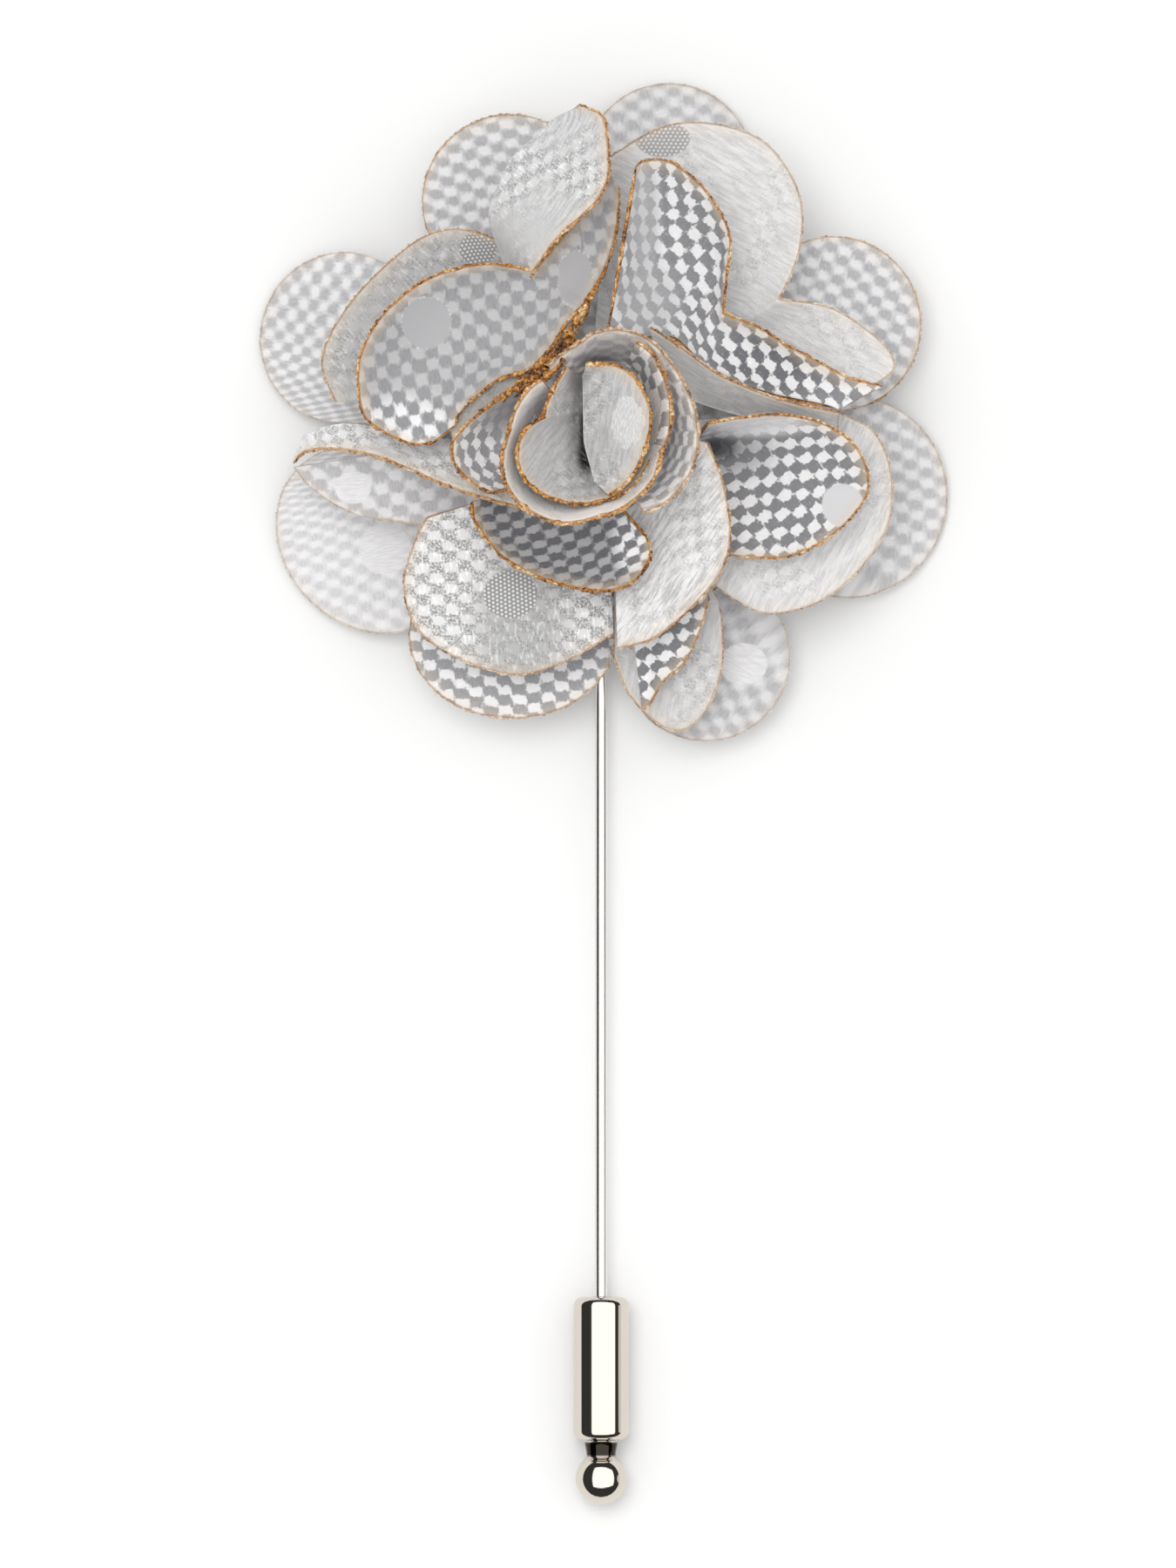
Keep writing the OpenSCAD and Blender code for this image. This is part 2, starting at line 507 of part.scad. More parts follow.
module second_disc() {
    color(FRONT_CLOTH) scalloped_disc(SECOND_LOBES, SECOND_MIDDLE);
}

// The tight lower end of the roll, between the rear discs and the open bud
module bud_stem() {
    foot = flower_h * SECOND_MIDDLE + cloth_t / 2 + STEM_GAP;
    top = flower_h * bud_left[0][2] - cloth_t / 2 - 2 * STEM_GAP;
    color(REVERSE_CLOTH)
        translate([flower_r * BUD_X, flower_r * BUD_Y, foot]) cylinder(d = stem_d, h = top - foot);
}

module bud_outer_wrap() {
    color(FRONT_CLOTH) sheet(wrap_grid(OUTER_WRAP, outer_wrap_h - cloth_t));
}

module bud_middle_wrap() {
    color(REVERSE_CLOTH) sheet(wrap_grid(MIDDLE_WRAP, middle_wrap_h - cloth_t));
}

// Everything on the needle's line is drawn along +z from y = 0 and laid down towards -y
module on_needle_line(y) {
    translate([0, y, axis_z]) rotate([90, 0, 0]) children();
}

// Pad, tang and needle are soldered into one piece
module stick_pin() {
    color(METAL) {
        translate([0, 0, pad_top - pad_t]) cylinder(d = pad_d, h = pad_t);
        translate([0, 0, axis_z]) cylinder(d = tang_d, h = pad_top - axis_z);
        on_needle_line(0) cylinder(d = tang_d, h = -needle_root_y);
        on_needle_line(needle_root_y) cylinder(d = needle_d, h = needle_l);
        on_needle_line(cap_mouth_y) cylinder(d1 = needle_d, d2 = needle_d / 6, h = point_l);
    }
}

// Turned cap: barrel with rounded shoulders, neck and ball, bored for the point
module pin_cap() {
    r = cap_d / 2;
    ball_at = cap_l + neck_l + ball_d / 2;
    bore_r = needle_d / 2 + bore_gap;
    color(METAL) on_needle_line(cap_mouth_y) difference() {
        union() {
            rotate_extrude() {
                translate([0, shoulder]) square([r, cap_l - 2 * shoulder]);
                square([r - shoulder, cap_l]);
                for (y = [shoulder, cap_l - shoulder])
                    intersection() {
                        translate([r - shoulder, y]) circle(r = shoulder);
                        square([r, cap_l]);
                    }
            }
            cylinder(d = neck_d, h = ball_at);
            translate([0, 0, ball_at]) sphere(d = ball_d);
        }
        translate([0, 0, -1]) cylinder(r = bore_r, h = bore_depth + 1);
    }
}

for (row = PETALS)
    petal(row[0]);
rear_disc();
second_disc();
bud_stem();
bud_outer_wrap();
bud_middle_wrap();
stick_pin();
pin_cap();
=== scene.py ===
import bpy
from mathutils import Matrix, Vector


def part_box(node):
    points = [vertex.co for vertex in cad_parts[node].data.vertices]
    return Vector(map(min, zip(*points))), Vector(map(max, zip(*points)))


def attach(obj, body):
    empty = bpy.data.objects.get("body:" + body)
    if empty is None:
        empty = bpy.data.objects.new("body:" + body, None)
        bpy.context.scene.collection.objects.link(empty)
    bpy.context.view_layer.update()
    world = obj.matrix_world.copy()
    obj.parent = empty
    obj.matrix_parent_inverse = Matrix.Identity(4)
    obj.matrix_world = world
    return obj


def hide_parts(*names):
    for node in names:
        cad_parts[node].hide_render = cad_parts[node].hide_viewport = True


bl_info = {
    "name": "Flower lapel pin",
    "version": (1, 0, 0),
    "blender": (4, 5, 0),
    "location": "View3D > Sidebar > Lapel pin",
    "description": "Singed tie-silk petals, a rolled bud, a needle and its cap",
    "category": "Mesh",
}

from collections import namedtuple

import bpy
import numpy as np

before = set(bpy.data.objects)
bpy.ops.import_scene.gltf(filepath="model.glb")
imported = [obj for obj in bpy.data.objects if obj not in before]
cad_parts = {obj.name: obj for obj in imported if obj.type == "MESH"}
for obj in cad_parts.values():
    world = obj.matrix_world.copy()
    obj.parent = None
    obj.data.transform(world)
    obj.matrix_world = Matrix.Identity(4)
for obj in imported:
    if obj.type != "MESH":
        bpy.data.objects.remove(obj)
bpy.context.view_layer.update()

MM = 0.001
FLOWER_R = 25.0
FLOWER_H = 20.0
BUD = np.array([-0.025, -0.035])

# Petals in the source's own shares. Each row is one section from the root to the rim: columns
# root x, root y, root height, rim x, rim y, rim height, sag, and 1 for smooth or 0 for a corner.
SECTIONS = {
    "upper_right_back_petal": [
        (-0.02, 0.22, 0.34, 0.02, 0.755, 0.46, 0.02, 1),
        (0.05, 0.21, 0.34, 0.18, 0.845, 0.45, 0.03, 1),
        (0.08, 0.20, 0.34, 0.335, 0.85, 0.44, 0.03, 1),
        (0.11, 0.19, 0.34, 0.48, 0.79, 0.42, 0.03, 1),
        (0.14, 0.17, 0.34, 0.57, 0.64, 0.41, 0.03, 1),
        (0.16, 0.15, 0.34, 0.565, 0.48, 0.42, 0.03, 1),
        (0.18, 0.13, 0.34, 0.51, 0.35, 0.44, 0.03, 0),
        (0.20, 0.11, 0.34, 0.66, 0.325, 0.43, 0.03, 1),
        (0.22, 0.09, 0.34, 0.80, 0.23, 0.42, 0.02, 1),
        (0.24, 0.07, 0.34, 0.84, 0.155, 0.42, 0.02, 1),
        (0.26, 0.05, 0.34, 0.79, 0.11, 0.43, 0.02, 1),
    ],
    "upper_right_front_petal": [
        (0.02, 0.262, 0.77, 0.10, 0.73, 0.74, 0.02, 1),
        (0.06, 0.25, 0.76, 0.125, 0.745, 0.73, 0.08, 1),
        (0.12, 0.238, 0.74, 0.19, 0.745, 0.71, 0.13, 1),
        (0.17, 0.24, 0.73, 0.27, 0.69, 0.68, 0.14, 1),
        (0.21, 0.235, 0.71, 0.335, 0.61, 0.66, 0.13, 1),
        (0.24, 0.21, 0.69, 0.37, 0.52, 0.64, 0.12, 1),
        (0.265, 0.185, 0.66, 0.36, 0.42, 0.62, 0.10, 1),
        (0.305, 0.15, 0.64, 0.35, 0.31, 0.60, 0.07, 0),
        (0.40, 0.105, 0.61, 0.45, 0.27, 0.59, 0.06, 1),
        (0.49, 0.075, 0.59, 0.53, 0.22, 0.58, 0.05, 1),
        (0.56, 0.06, 0.57, 0.615, 0.175, 0.56, 0.04, 1),
        (0.64, 0.045, 0.55, 0.70, 0.13, 0.55, 0.02, 1),
        (0.68, 0.035, 0.54, 0.805, 0.10, 0.54, 0, 1),
    ],
    "upper_right_near_petal": [
        (0.19, 0.12, 0.50, 0.14, 0.268, 0.80, 0.02, 1),
        (0.22, 0.09, 0.50, 0.17, 0.251, 0.79, 0.03, 1),
        (0.27, 0.06, 0.495, 0.247, 0.199, 0.735, 0.03, 1),
        (0.33, 0.04, 0.49, 0.319, 0.146, 0.69, 0.02, 1),
        (0.40, 0.02, 0.48, 0.379, 0.115, 0.65, 0.02, 1),
        (0.49, 0, 0.47, 0.4745, 0.077, 0.61, 0.01, 1),
        (0.58, -0.01, 0.46, 0.565, 0.051, 0.58, 0.01, 1),
        (0.68, -0.015, 0.455, 0.68, 0.028, 0.55, 0, 1),
    ],
    "right_front_petal": [
        (0.28, -0.04, 0.52, 0.305, -0.005, 0.66, 0, 1),
        (0.285, -0.055, 0.45, 0.39, 0.01, 0.65, 0.02, 1),
        (0.295, -0.08, 0.43, 0.52, 0.02, 0.63, 0.03, 1),
        (0.30, -0.105, 0.43, 0.645, -0.01, 0.61, 0.03, 1),
        (0.305, -0.13, 0.43, 0.735, -0.08, 0.59, 0.03, 1),
        (0.31, -0.16, 0.435, 0.765, -0.18, 0.57, 0.03, 1),
        (0.315, -0.195, 0.445, 0.73, -0.26, 0.55, 0.03, 1),
        (0.32, -0.235, 0.455, 0.64, -0.34, 0.53, 0.03, 1),
        (0.325, -0.27, 0.465, 0.54, -0.385, 0.51, 0.02, 1),
        (0.33, -0.31, 0.475, 0.425, -0.39, 0.50, 0.01, 1),
        (0.33, -0.345, 0.48, 0.36, -0.38, 0.49, 0, 1),
    ],
    "right_back_petal": [
        (0.15, 0, 0.35, 0.68, 0.025, 0.375, 0, 1),
        (0.155, -0.02, 0.35, 0.78, -0.03, 0.37, 0, 1),
        (0.155, -0.04, 0.355, 0.83, -0.145, 0.37, 0, 1),
        (0.155, -0.06, 0.36, 0.82, -0.30, 0.37, 0, 1),
        (0.15, -0.08, 0.365, 0.73, -0.435, 0.37, 0, 1),
        (0.145, -0.10, 0.37, 0.615, -0.52, 0.375, 0, 1),
        (0.14, -0.115, 0.375, 0.48, -0.55, 0.38, 0, 1),
        (0.13, -0.13, 0.38, 0.385, -0.51, 0.38, 0, 1),
        (0.12, -0.14, 0.38, 0.335, -0.475, 0.38, 0, 1),
    ],
    "lower_right_front_petal": [
        (0.21, -0.04, 0.60, 0.305, -0.06, 0.655, -0.01, 1),
        (0.20, -0.10, 0.59, 0.34, -0.155, 0.66, -0.03, 1),
        (0.19, -0.15, 0.575, 0.365, -0.265, 0.65, -0.03, 1),
        (0.165, -0.185, 0.56, 0.365, -0.365, 0.63, -0.03, 1),
        (0.14, -0.21, 0.54, 0.33, -0.45, 0.61, -0.03, 1),
        (0.115, -0.23, 0.52, 0.25, -0.54, 0.58, -0.03, 1),
        (0.08, -0.25, 0.50, 0.15, -0.62, 0.55, -0.03, 1),
        (0.04, -0.27, 0.49, 0.045, -0.65, 0.53, -0.02, 1),
    ],
    "lower_right_back_petal": [
        (0.04, -0.30, 0.32, 0.035, -0.67, 0.31, 0, 1),
        (0.07, -0.30, 0.32, 0.08, -0.78, 0.30, 0, 1),
        (0.10, -0.30, 0.32, 0.17, -0.87, 0.29, 0, 1),
        (0.125, -0.30, 0.32, 0.245, -0.88, 0.29, 0, 1),
        (0.145, -0.30, 0.32, 0.31, -0.81, 0.295, 0, 1),
        (0.16, -0.30, 0.32, 0.345, -0.70, 0.30, 0, 1),
        (0.175, -0.295, 0.315, 0.345, -0.58, 0.305, 0, 1),
        (0.215, -0.245, 0.315, 0.3275, -0.505, 0.31, 0, 1),
    ],
    "lower_right_flap": [
        (0.19, -0.28, 0.44, 0.31, -0.505, 0.455, 0, 1),
        (0.17, -0.285, 0.425, 0.285, -0.59, 0.45, 0, 1),
        (0.145, -0.29, 0.41, 0.245, -0.68, 0.44, 0, 1),
        (0.12, -0.30, 0.41, 0.18, -0.745, 0.42, 0, 1),
        (0.095, -0.305, 0.41, 0.145, -0.80, 0.40, 0, 1),
        (0.06, -0.31, 0.41, 0.12, -0.83, 0.38, 0, 1),
    ],
    "bottom_front_petal": [
        (-0.27, -0.20, 0.49, -0.37, -0.23, 0.56, 0.01, 1),
        (-0.25, -0.225, 0.50, -0.36, -0.29, 0.58, 0.02, 1),
        (-0.21, -0.245, 0.52, -0.28, -0.39, 0.61, 0.04, 1),
        (-0.15, -0.26, 0.54, -0.155, -0.455, 0.63, 0.04, 1),
        (-0.08, -0.265, 0.56, -0.015, -0.485, 0.65, 0.04, 1),
        (-0.02, -0.265, 0.58, 0.085, -0.465, 0.66, 0.03, 1),
        (0.03, -0.26, 0.60, 0.14, -0.39, 0.66, 0.02, 1),
        (0.045, -0.235, 0.60, 0.13, -0.33, 0.66, 0, 1),
    ],
    "bottom_back_petal": [
        (-0.225, -0.19, 0.40, -0.50, -0.275, 0.45, -0.01, 1),
        (-0.205, -0.21, 0.40, -0.54, -0.365, 0.44, -0.02, 1),
        (-0.18, -0.23, 0.40, -0.565, -0.48, 0.43, -0.02, 1),
        (-0.15, -0.24, 0.40, -0.52, -0.60, 0.42, -0.02, 1),
        (-0.11, -0.25, 0.40, -0.405, -0.68, 0.41, -0.02, 1),
        (-0.075, -0.255, 0.40, -0.245, -0.725, 0.41, -0.02, 1),
        (-0.04, -0.255, 0.40, -0.11, -0.69, 0.42, -0.02, 1),
        (-0.005, -0.245, 0.40, -0.01, -0.635, 0.42, -0.01, 1),
        (0.02, -0.23, 0.40, 0.03, -0.61, 0.42, -0.01, 1),
    ],
    "left_back_petal": [
        (-0.28, -0.04, 0.345, -0.88, -0.13, 0.27, 0, 1),
        (-0.275, -0.06, 0.345, -0.84, -0.18, 0.27, 0, 1),
        (-0.265, -0.08, 0.345, -0.775, -0.23, 0.28, 0, 1),
        (-0.25, -0.10, 0.34, -0.705, -0.265, 0.29, 0, 1),
        (-0.23, -0.12, 0.335, -0.63, -0.28, 0.30, 0, 1),
        (-0.21, -0.14, 0.33, -0.55, -0.29, 0.31, 0, 1),
        (-0.18, -0.175, 0.33, -0.48, -0.305, 0.32, 0, 1),
    ],
    "left_front_petal": [
        (-0.85, -0.04, 0.35, -0.88, -0.12, 0.35, 0, 1),
        (-0.79, -0.02, 0.38, -0.85, -0.09, 0.40, 0, 1),
        (-0.725, -0.01, 0.42, -0.79, -0.08, 0.46, 0, 1),
        (-0.65, -0.02, 0.46, -0.72, -0.085, 0.52, 0, 1),
        (-0.575, -0.04, 0.48, -0.65, -0.10, 0.56, 0, 1),
        (-0.475, -0.055, 0.50, -0.545, -0.14, 0.61, 0, 1),
        (-0.39, -0.08, 0.52, -0.43, -0.19, 0.65, 0, 1),
        (-0.30, -0.11, 0.53, -0.315, -0.225, 0.65, 0, 1),
        (-0.22, -0.14, 0.53, -0.225, -0.25, 0.60, 0, 1),
    ],
    "left_pocket_petal": [
        (-0.205, 0.105, 0.72, -0.2, 0.132, 0.85, 0, 1),
        (-0.23, 0.07, 0.65, -0.25, 0.098, 0.82, 0.01, 1),
        (-0.24, 0.035, 0.61, -0.3, 0.06, 0.78, 0.02, 1),
        (-0.245, -0.015, 0.6, -0.375, 0, 0.78, 0.04, 1),
        (-0.24, -0.065, 0.61, -0.425, -0.06, 0.77, 0.05, 1),
        (-0.235, -0.115, 0.61, -0.415, -0.13, 0.76, 0.04, 1),
        (-0.225, -0.155, 0.63, -0.35, -0.19, 0.76, 0.02, 1),
        (-0.215, -0.18, 0.635, -0.31, -0.205, 0.755, 0, 1),
    ],
    "upper_left_back_petal": [
        (-0.20, 0.09, 0.305, -0.76, 0.055, 0.40, 0, 1),
        (-0.20, 0.11, 0.305, -0.80, 0.16, 0.42, 0, 1),
        (-0.195, 0.13, 0.305, -0.77, 0.26, 0.43, 0, 1),
        (-0.19, 0.15, 0.305, -0.68, 0.385, 0.44, 0, 1),
        (-0.175, 0.17, 0.305, -0.54, 0.51, 0.45, 0, 1),
        (-0.16, 0.19, 0.305, -0.44, 0.55, 0.45, 0, 1),
        (-0.14, 0.20, 0.305, -0.35, 0.54, 0.46, 0, 1),
        (-0.11, 0.21, 0.305, -0.22, 0.485, 0.47, 0, 1),
    ],
    "upper_left_front_petal": [
        (-0.415, -0.01, 0.695, -0.48, -0.062, 0.67, 0, 1),
        (-0.405, 0.02, 0.70, -0.55, -0.062, 0.67, 0.02, 1),
        (-0.38, 0.05, 0.735, -0.655, -0.01, 0.68, 0.07, 1),
        (-0.35, 0.075, 0.76, -0.69, 0.055, 0.69, 0.10, 1),
        (-0.29, 0.12, 0.78, -0.69, 0.185, 0.70, 0.12, 1),
        (-0.203, 0.15, 0.79, -0.62, 0.31, 0.70, 0.12, 1),
        (-0.138, 0.217, 0.80, -0.49, 0.41, 0.70, 0.11, 1),
        (-0.095, 0.285, 0.80, -0.33, 0.45, 0.70, 0.09, 1),
        (-0.04, 0.34, 0.76, -0.195, 0.43, 0.70, 0.06, 0),
        (0.01, 0.43, 0.71, -0.13, 0.505, 0.66, 0.03, 1),
        (0.04, 0.52, 0.69, -0.06, 0.59, 0.65, 0.02, 1),
        (0.05, 0.61, 0.66, -0.005, 0.665, 0.64, 0, 1),
        (0.05, 0.67, 0.64, 0.005, 0.73, 0.64, 0, 1),
    ],
    "upper_left_lobe": [
        (-0.27, 0.44, 0.49, -0.2, 0.412, 0.66, 0, 1),
        (-0.29, 0.50, 0.48, -0.187, 0.434, 0.745, 0, 1),
        (-0.308, 0.545, 0.50, -0.158, 0.475, 0.775, 0, 1),
        (-0.318, 0.59, 0.53, -0.115, 0.53, 0.79, 0, 1),
        (-0.31, 0.63, 0.54, -0.06, 0.58, 0.8, 0, 1),
        (-0.29, 0.675, 0.54, -0.01, 0.63, 0.81, 0, 1),
        (-0.27, 0.72, 0.54, 0.02, 0.695, 0.81, 0, 1),
        (-0.25, 0.755, 0.54, 0.0225, 0.755, 0.8, 0, 1),
        (-0.21, 0.79, 0.54, 0.015, 0.845, 0.78, 0, 1),
        (-0.17, 0.825, 0.54, -0.005, 0.88, 0.76, 0, 1),
        (-0.135, 0.86, 0.54, -0.06, 0.905, 0.72, 0, 1),
    ],
    "tucked_fold": [
        (-0.435, -0.01, 0.645, -0.42, -0.05, 0.62, 0, 1),
        (-0.39, 0.06, 0.69, -0.37, -0.005, 0.66, 0, 1),
        (-0.32, 0.115, 0.725, -0.3, 0.045, 0.7, 0, 1),
        (-0.24, 0.165, 0.745, -0.235, 0.08, 0.72, 0, 1),
        (-0.17, 0.225, 0.755, -0.185, 0.12, 0.74, 0, 1),
        (-0.115, 0.285, 0.76, -0.135, 0.17, 0.76, 0, 1),
        (-0.065, 0.345, 0.73, -0.085, 0.235, 0.76, 0, 1),
        (-0.02, 0.42, 0.68, -0.035, 0.32, 0.74, 0, 1),
    ],
    "bud_right_leaf": [
        (-0.0475, 0.13, 0.86, -0.045, 0.162, 0.95, 0, 1),
        (-0.0475, 0.11, 0.86, 0, 0.163, 0.96, 0, 1),
        (-0.0475, 0.08, 0.86, 0.045, 0.158, 0.96, -0.01, 1),
        (-0.0475, 0.05, 0.86, 0.09, 0.13, 0.96, -0.02, 1),
        (-0.0475, 0.01, 0.86, 0.12, 0.085, 0.96, -0.02, 1),
        (-0.0475, -0.03, 0.85, 0.14, 0.035, 0.96, -0.02, 1),
        (-0.0455, -0.06, 0.84, 0.14, -0.02, 0.96, -0.02, 1),
        (-0.038, -0.09, 0.84, 0.127, -0.075, 0.955, -0.02, 1),
        (-0.031, -0.115, 0.845, 0.112, -0.115, 0.945, -0.015, 1),
        (-0.0255, -0.135, 0.85, 0.092, -0.15, 0.935, -0.01, 1),
        (-0.021, -0.155, 0.855, 0.062, -0.187, 0.925, 0, 1),
        (-0.014, -0.172, 0.86, 0.022, -0.212, 0.905, 0, 1),
    ],
    "bud_left_leaf": [
        (-0.05, 0.12, 0.74, -0.1, 0.155, 0.93, 0, 1),
        (-0.045, 0.09, 0.74, -0.125, 0.115, 0.93, 0, 1),
        (-0.04, 0.06, 0.735, -0.155, 0.055, 0.93, 0.01, 1),
        (-0.037, 0.035, 0.73, -0.165, 0.012, 0.93, 0.01, 0),
        (-0.035, 0.01, 0.725, -0.21, -0.0175, 0.94, 0.02, 1),
        (-0.034, -0.015, 0.72, -0.235, -0.06, 0.94, 0.02, 1),
        (-0.032, -0.045, 0.72, -0.24, -0.1075, 0.94, 0.02, 1),
        (-0.029, -0.075, 0.72, -0.228, -0.15, 0.93, 0.02, 1),
        (-0.025, -0.105, 0.725, -0.2, -0.185, 0.92, 0.02, 1),
        (-0.018, -0.13, 0.735, -0.1525, -0.216, 0.915, 0.015, 1),
        (-0.012, -0.15, 0.75, -0.07, -0.2375, 0.905, 0.01, 1),
        (0, -0.155, 0.78, 0.025, -0.222, 0.895, 0.01, 1),
        (0.025, -0.105, 0.735, 0.0925, -0.1865, 0.89, 0.01, 1),
        (0.045, -0.085, 0.74, 0.1465, -0.105, 0.89, 0, 1),
        (0.055, -0.05, 0.74, 0.174, -0.024, 0.89, 0, 1),
        (0.06, -0.01, 0.74, 0.18, 0.04, 0.89, 0, 1),
        (0.055, 0.03, 0.74, 0.165, 0.1, 0.89, 0, 1),
    ],
}

# Lobes of the rear discs: azimuth, reach, half along, half across, direction, tip height
DISCS = {
    "rear_disc": (0.18, [
        (75, 0.76, 0.235, 0.24, 75, 0.035),
        (-17, 0.744, 0.28, 0.288, -17, 0.03),
        (-66, 0.743, 0.237, 0.24, -66, 0.13),
        (-153, 0.745, 0.245, 0.29, -135, 0.03),
        (162, 0.78, 0.235, 0.245, 162, 0.03),
    ]),
    "second_disc": (0.245, [
        (22.7, 0.726, 0.247, 0.25, 22.7, 0.15),
        (-112.5, 0.666, 0.235, 0.295, -90, 0.21),
        (112.5, 0.687, 0.245, 0.25, 112.5, 0.15),
    ]),
}
# The weave on each lobe: azimuth, turn in degrees, ground, cells, blur
LOBE_WEAVES = {
    "rear_disc": [
        (75, 5, 0.46, 0.74, 0.65),
        (-17, 7, 0.50, 0.79, 0.55),
        (-66, -28, 0.46, 0.74, 0.65),
        (-153, 8, 0.62, 0.84, 0.60),
        (162, 82, 0.46, 0.80, 0.55),
    ],
    "second_disc": [
        (22.7, -16, 0.44, 0.78, 0.50),
        (-112.5, 4, 0.34, 0.88, 0.10),
        (112.5, 15, 0.42, 0.76, 0.45),
    ],
}

# Wraps of the bud: height of the rim, how far the wall leans out and how deep it goes, in mm, then azimuths
# and reaches of the rim, as shares of the flower's radius
WRAPS = {
    "bud_outer_wrap": (18.4, 2.2, 3.6, [
        (123, 0.24), (110, 0.254), (97, 0.275), (88, 0.30), (75, 0.318), (60, 0.325), (45, 0.315),
        (28, 0.31), (10, 0.312), (-10, 0.315), (-25, 0.312), (-40, 0.302), (-57, 0.282),
    ]),
    "bud_middle_wrap": (18.9, 1.7, 4.1, [
        (64, 0.30), (54, 0.297), (44, 0.281), (32, 0.264), (10, 0.24), (-5, 0.226), (-16, 0.216),
        (-37, 0.229), (-57, 0.236), (-70, 0.243), (-88, 0.252), (-107, 0.28), (-120, 0.291), (-135, 0.299),
        (-150, 0.297), (-165, 0.278), (-180, 0.252), (-200, 0.24), (-215, 0.232), (-226, 0.222),
    ]),
}

# How each piece of cloth looks. Tones are albedos, stretch is the size of its woven cells against the usual
# ones, and pale is how thin and pale its singed edge is.
Look = namedtuple("Look", "front_up turn along across ground cells blur streaks pale")
LOOKS = {
    "upper_right_back_petal": Look(False, -28, 1.0, 1.1, 0.60, 0.86, 0.30, 0.85, 0.7),
    "upper_right_front_petal": Look(True, -43, 1.0, 1.12, 0.24, 0.82, 0.05, 0.3, 0.1),
    "upper_right_near_petal": Look(False, -30, 1.0, 1.1, 0.56, 0.80, 0.25, 0.9, 0.3),
    "right_front_petal": Look(True, 46, 1.0, 1.08, 0.22, 0.82, 0.04, 0.3, 0.1),
    "right_back_petal": Look(False, 62, 1.0, 1.1, 0.58, 0.86, 0.20, 0.8, 0.6),
    "lower_right_front_petal": Look(False, 55, 1.0, 1.1, 0.42, 0.92, 0.20, 0.95, 0.2),
    "lower_right_back_petal": Look(False, 80, 1.0, 1.1, 0.52, 0.72, 0.30, 0.6, 0.5),
    "lower_right_flap": Look(True, 50, 0.95, 1.0, 0.20, 0.86, 0.05, 0.3, 0.2),
    # partly painted shade: this pocket's low tones are partly its dark weave and partly the shade of its
    # hollow
    "bottom_front_petal": Look(True, 14, 1.05, 0.85, 0.13, 0.42, 0.16, 0.22, 0.0),
    "bottom_back_petal": Look(False, 3, 1.0, 1.05, 0.44, 0.85, 0.08, 0.0, 0.4),
    "left_back_petal": Look(True, 8, 1.05, 1.2, 0.50, 0.78, 0.30, 0.3, 0.8),
    "left_front_petal": Look(False, -25, 1.0, 1.0, 0.50, 0.86, 0.15, 0.45, 0.2),
    "left_pocket_petal": Look(True, -45, 0.95, 1.1, 0.34, 0.94, 0.06, 0.3, 0.1),
    "upper_left_back_petal": Look(False, 40, 1.0, 1.1, 0.48, 0.58, 0.40, 0.2, 0.5),
    "upper_left_front_petal": Look(True, 8, 0.92, 1.32, 0.31, 0.52, 0.22, 0.27, 0.0),
    "upper_left_lobe": Look(False, 60, 1.0, 1.1, 0.42, 0.72, 0.30, 0.45, 0.1),
    "tucked_fold": Look(False, 35, 1.0, 1.1, 0.48, 0.66, 0.25, 0.6, 0.0),
    "bud_right_leaf": Look(False, 80, 1.0, 1.1, 0.36, 0.58, 0.25, 0.75, 0.0),
    "bud_left_leaf": Look(False, 50, 1.0, 1.1, 0.39, 0.62, 0.30, 0.75, 0.0),
    "bud_outer_wrap": Look(True, 0, 1.25, 0.9, 0.38, 0.86, 0.28, 0.3, 0.45),
    "bud_middle_wrap": Look(False, 0, 1.0, 1.0, 0.56, 0.80, 0.20, 0.5, 0.1),
    "turned_collar": Look(True, 0, 1.05, 1.9, 0.30, 0.96, 0.05, 0.3, 0.1),
}

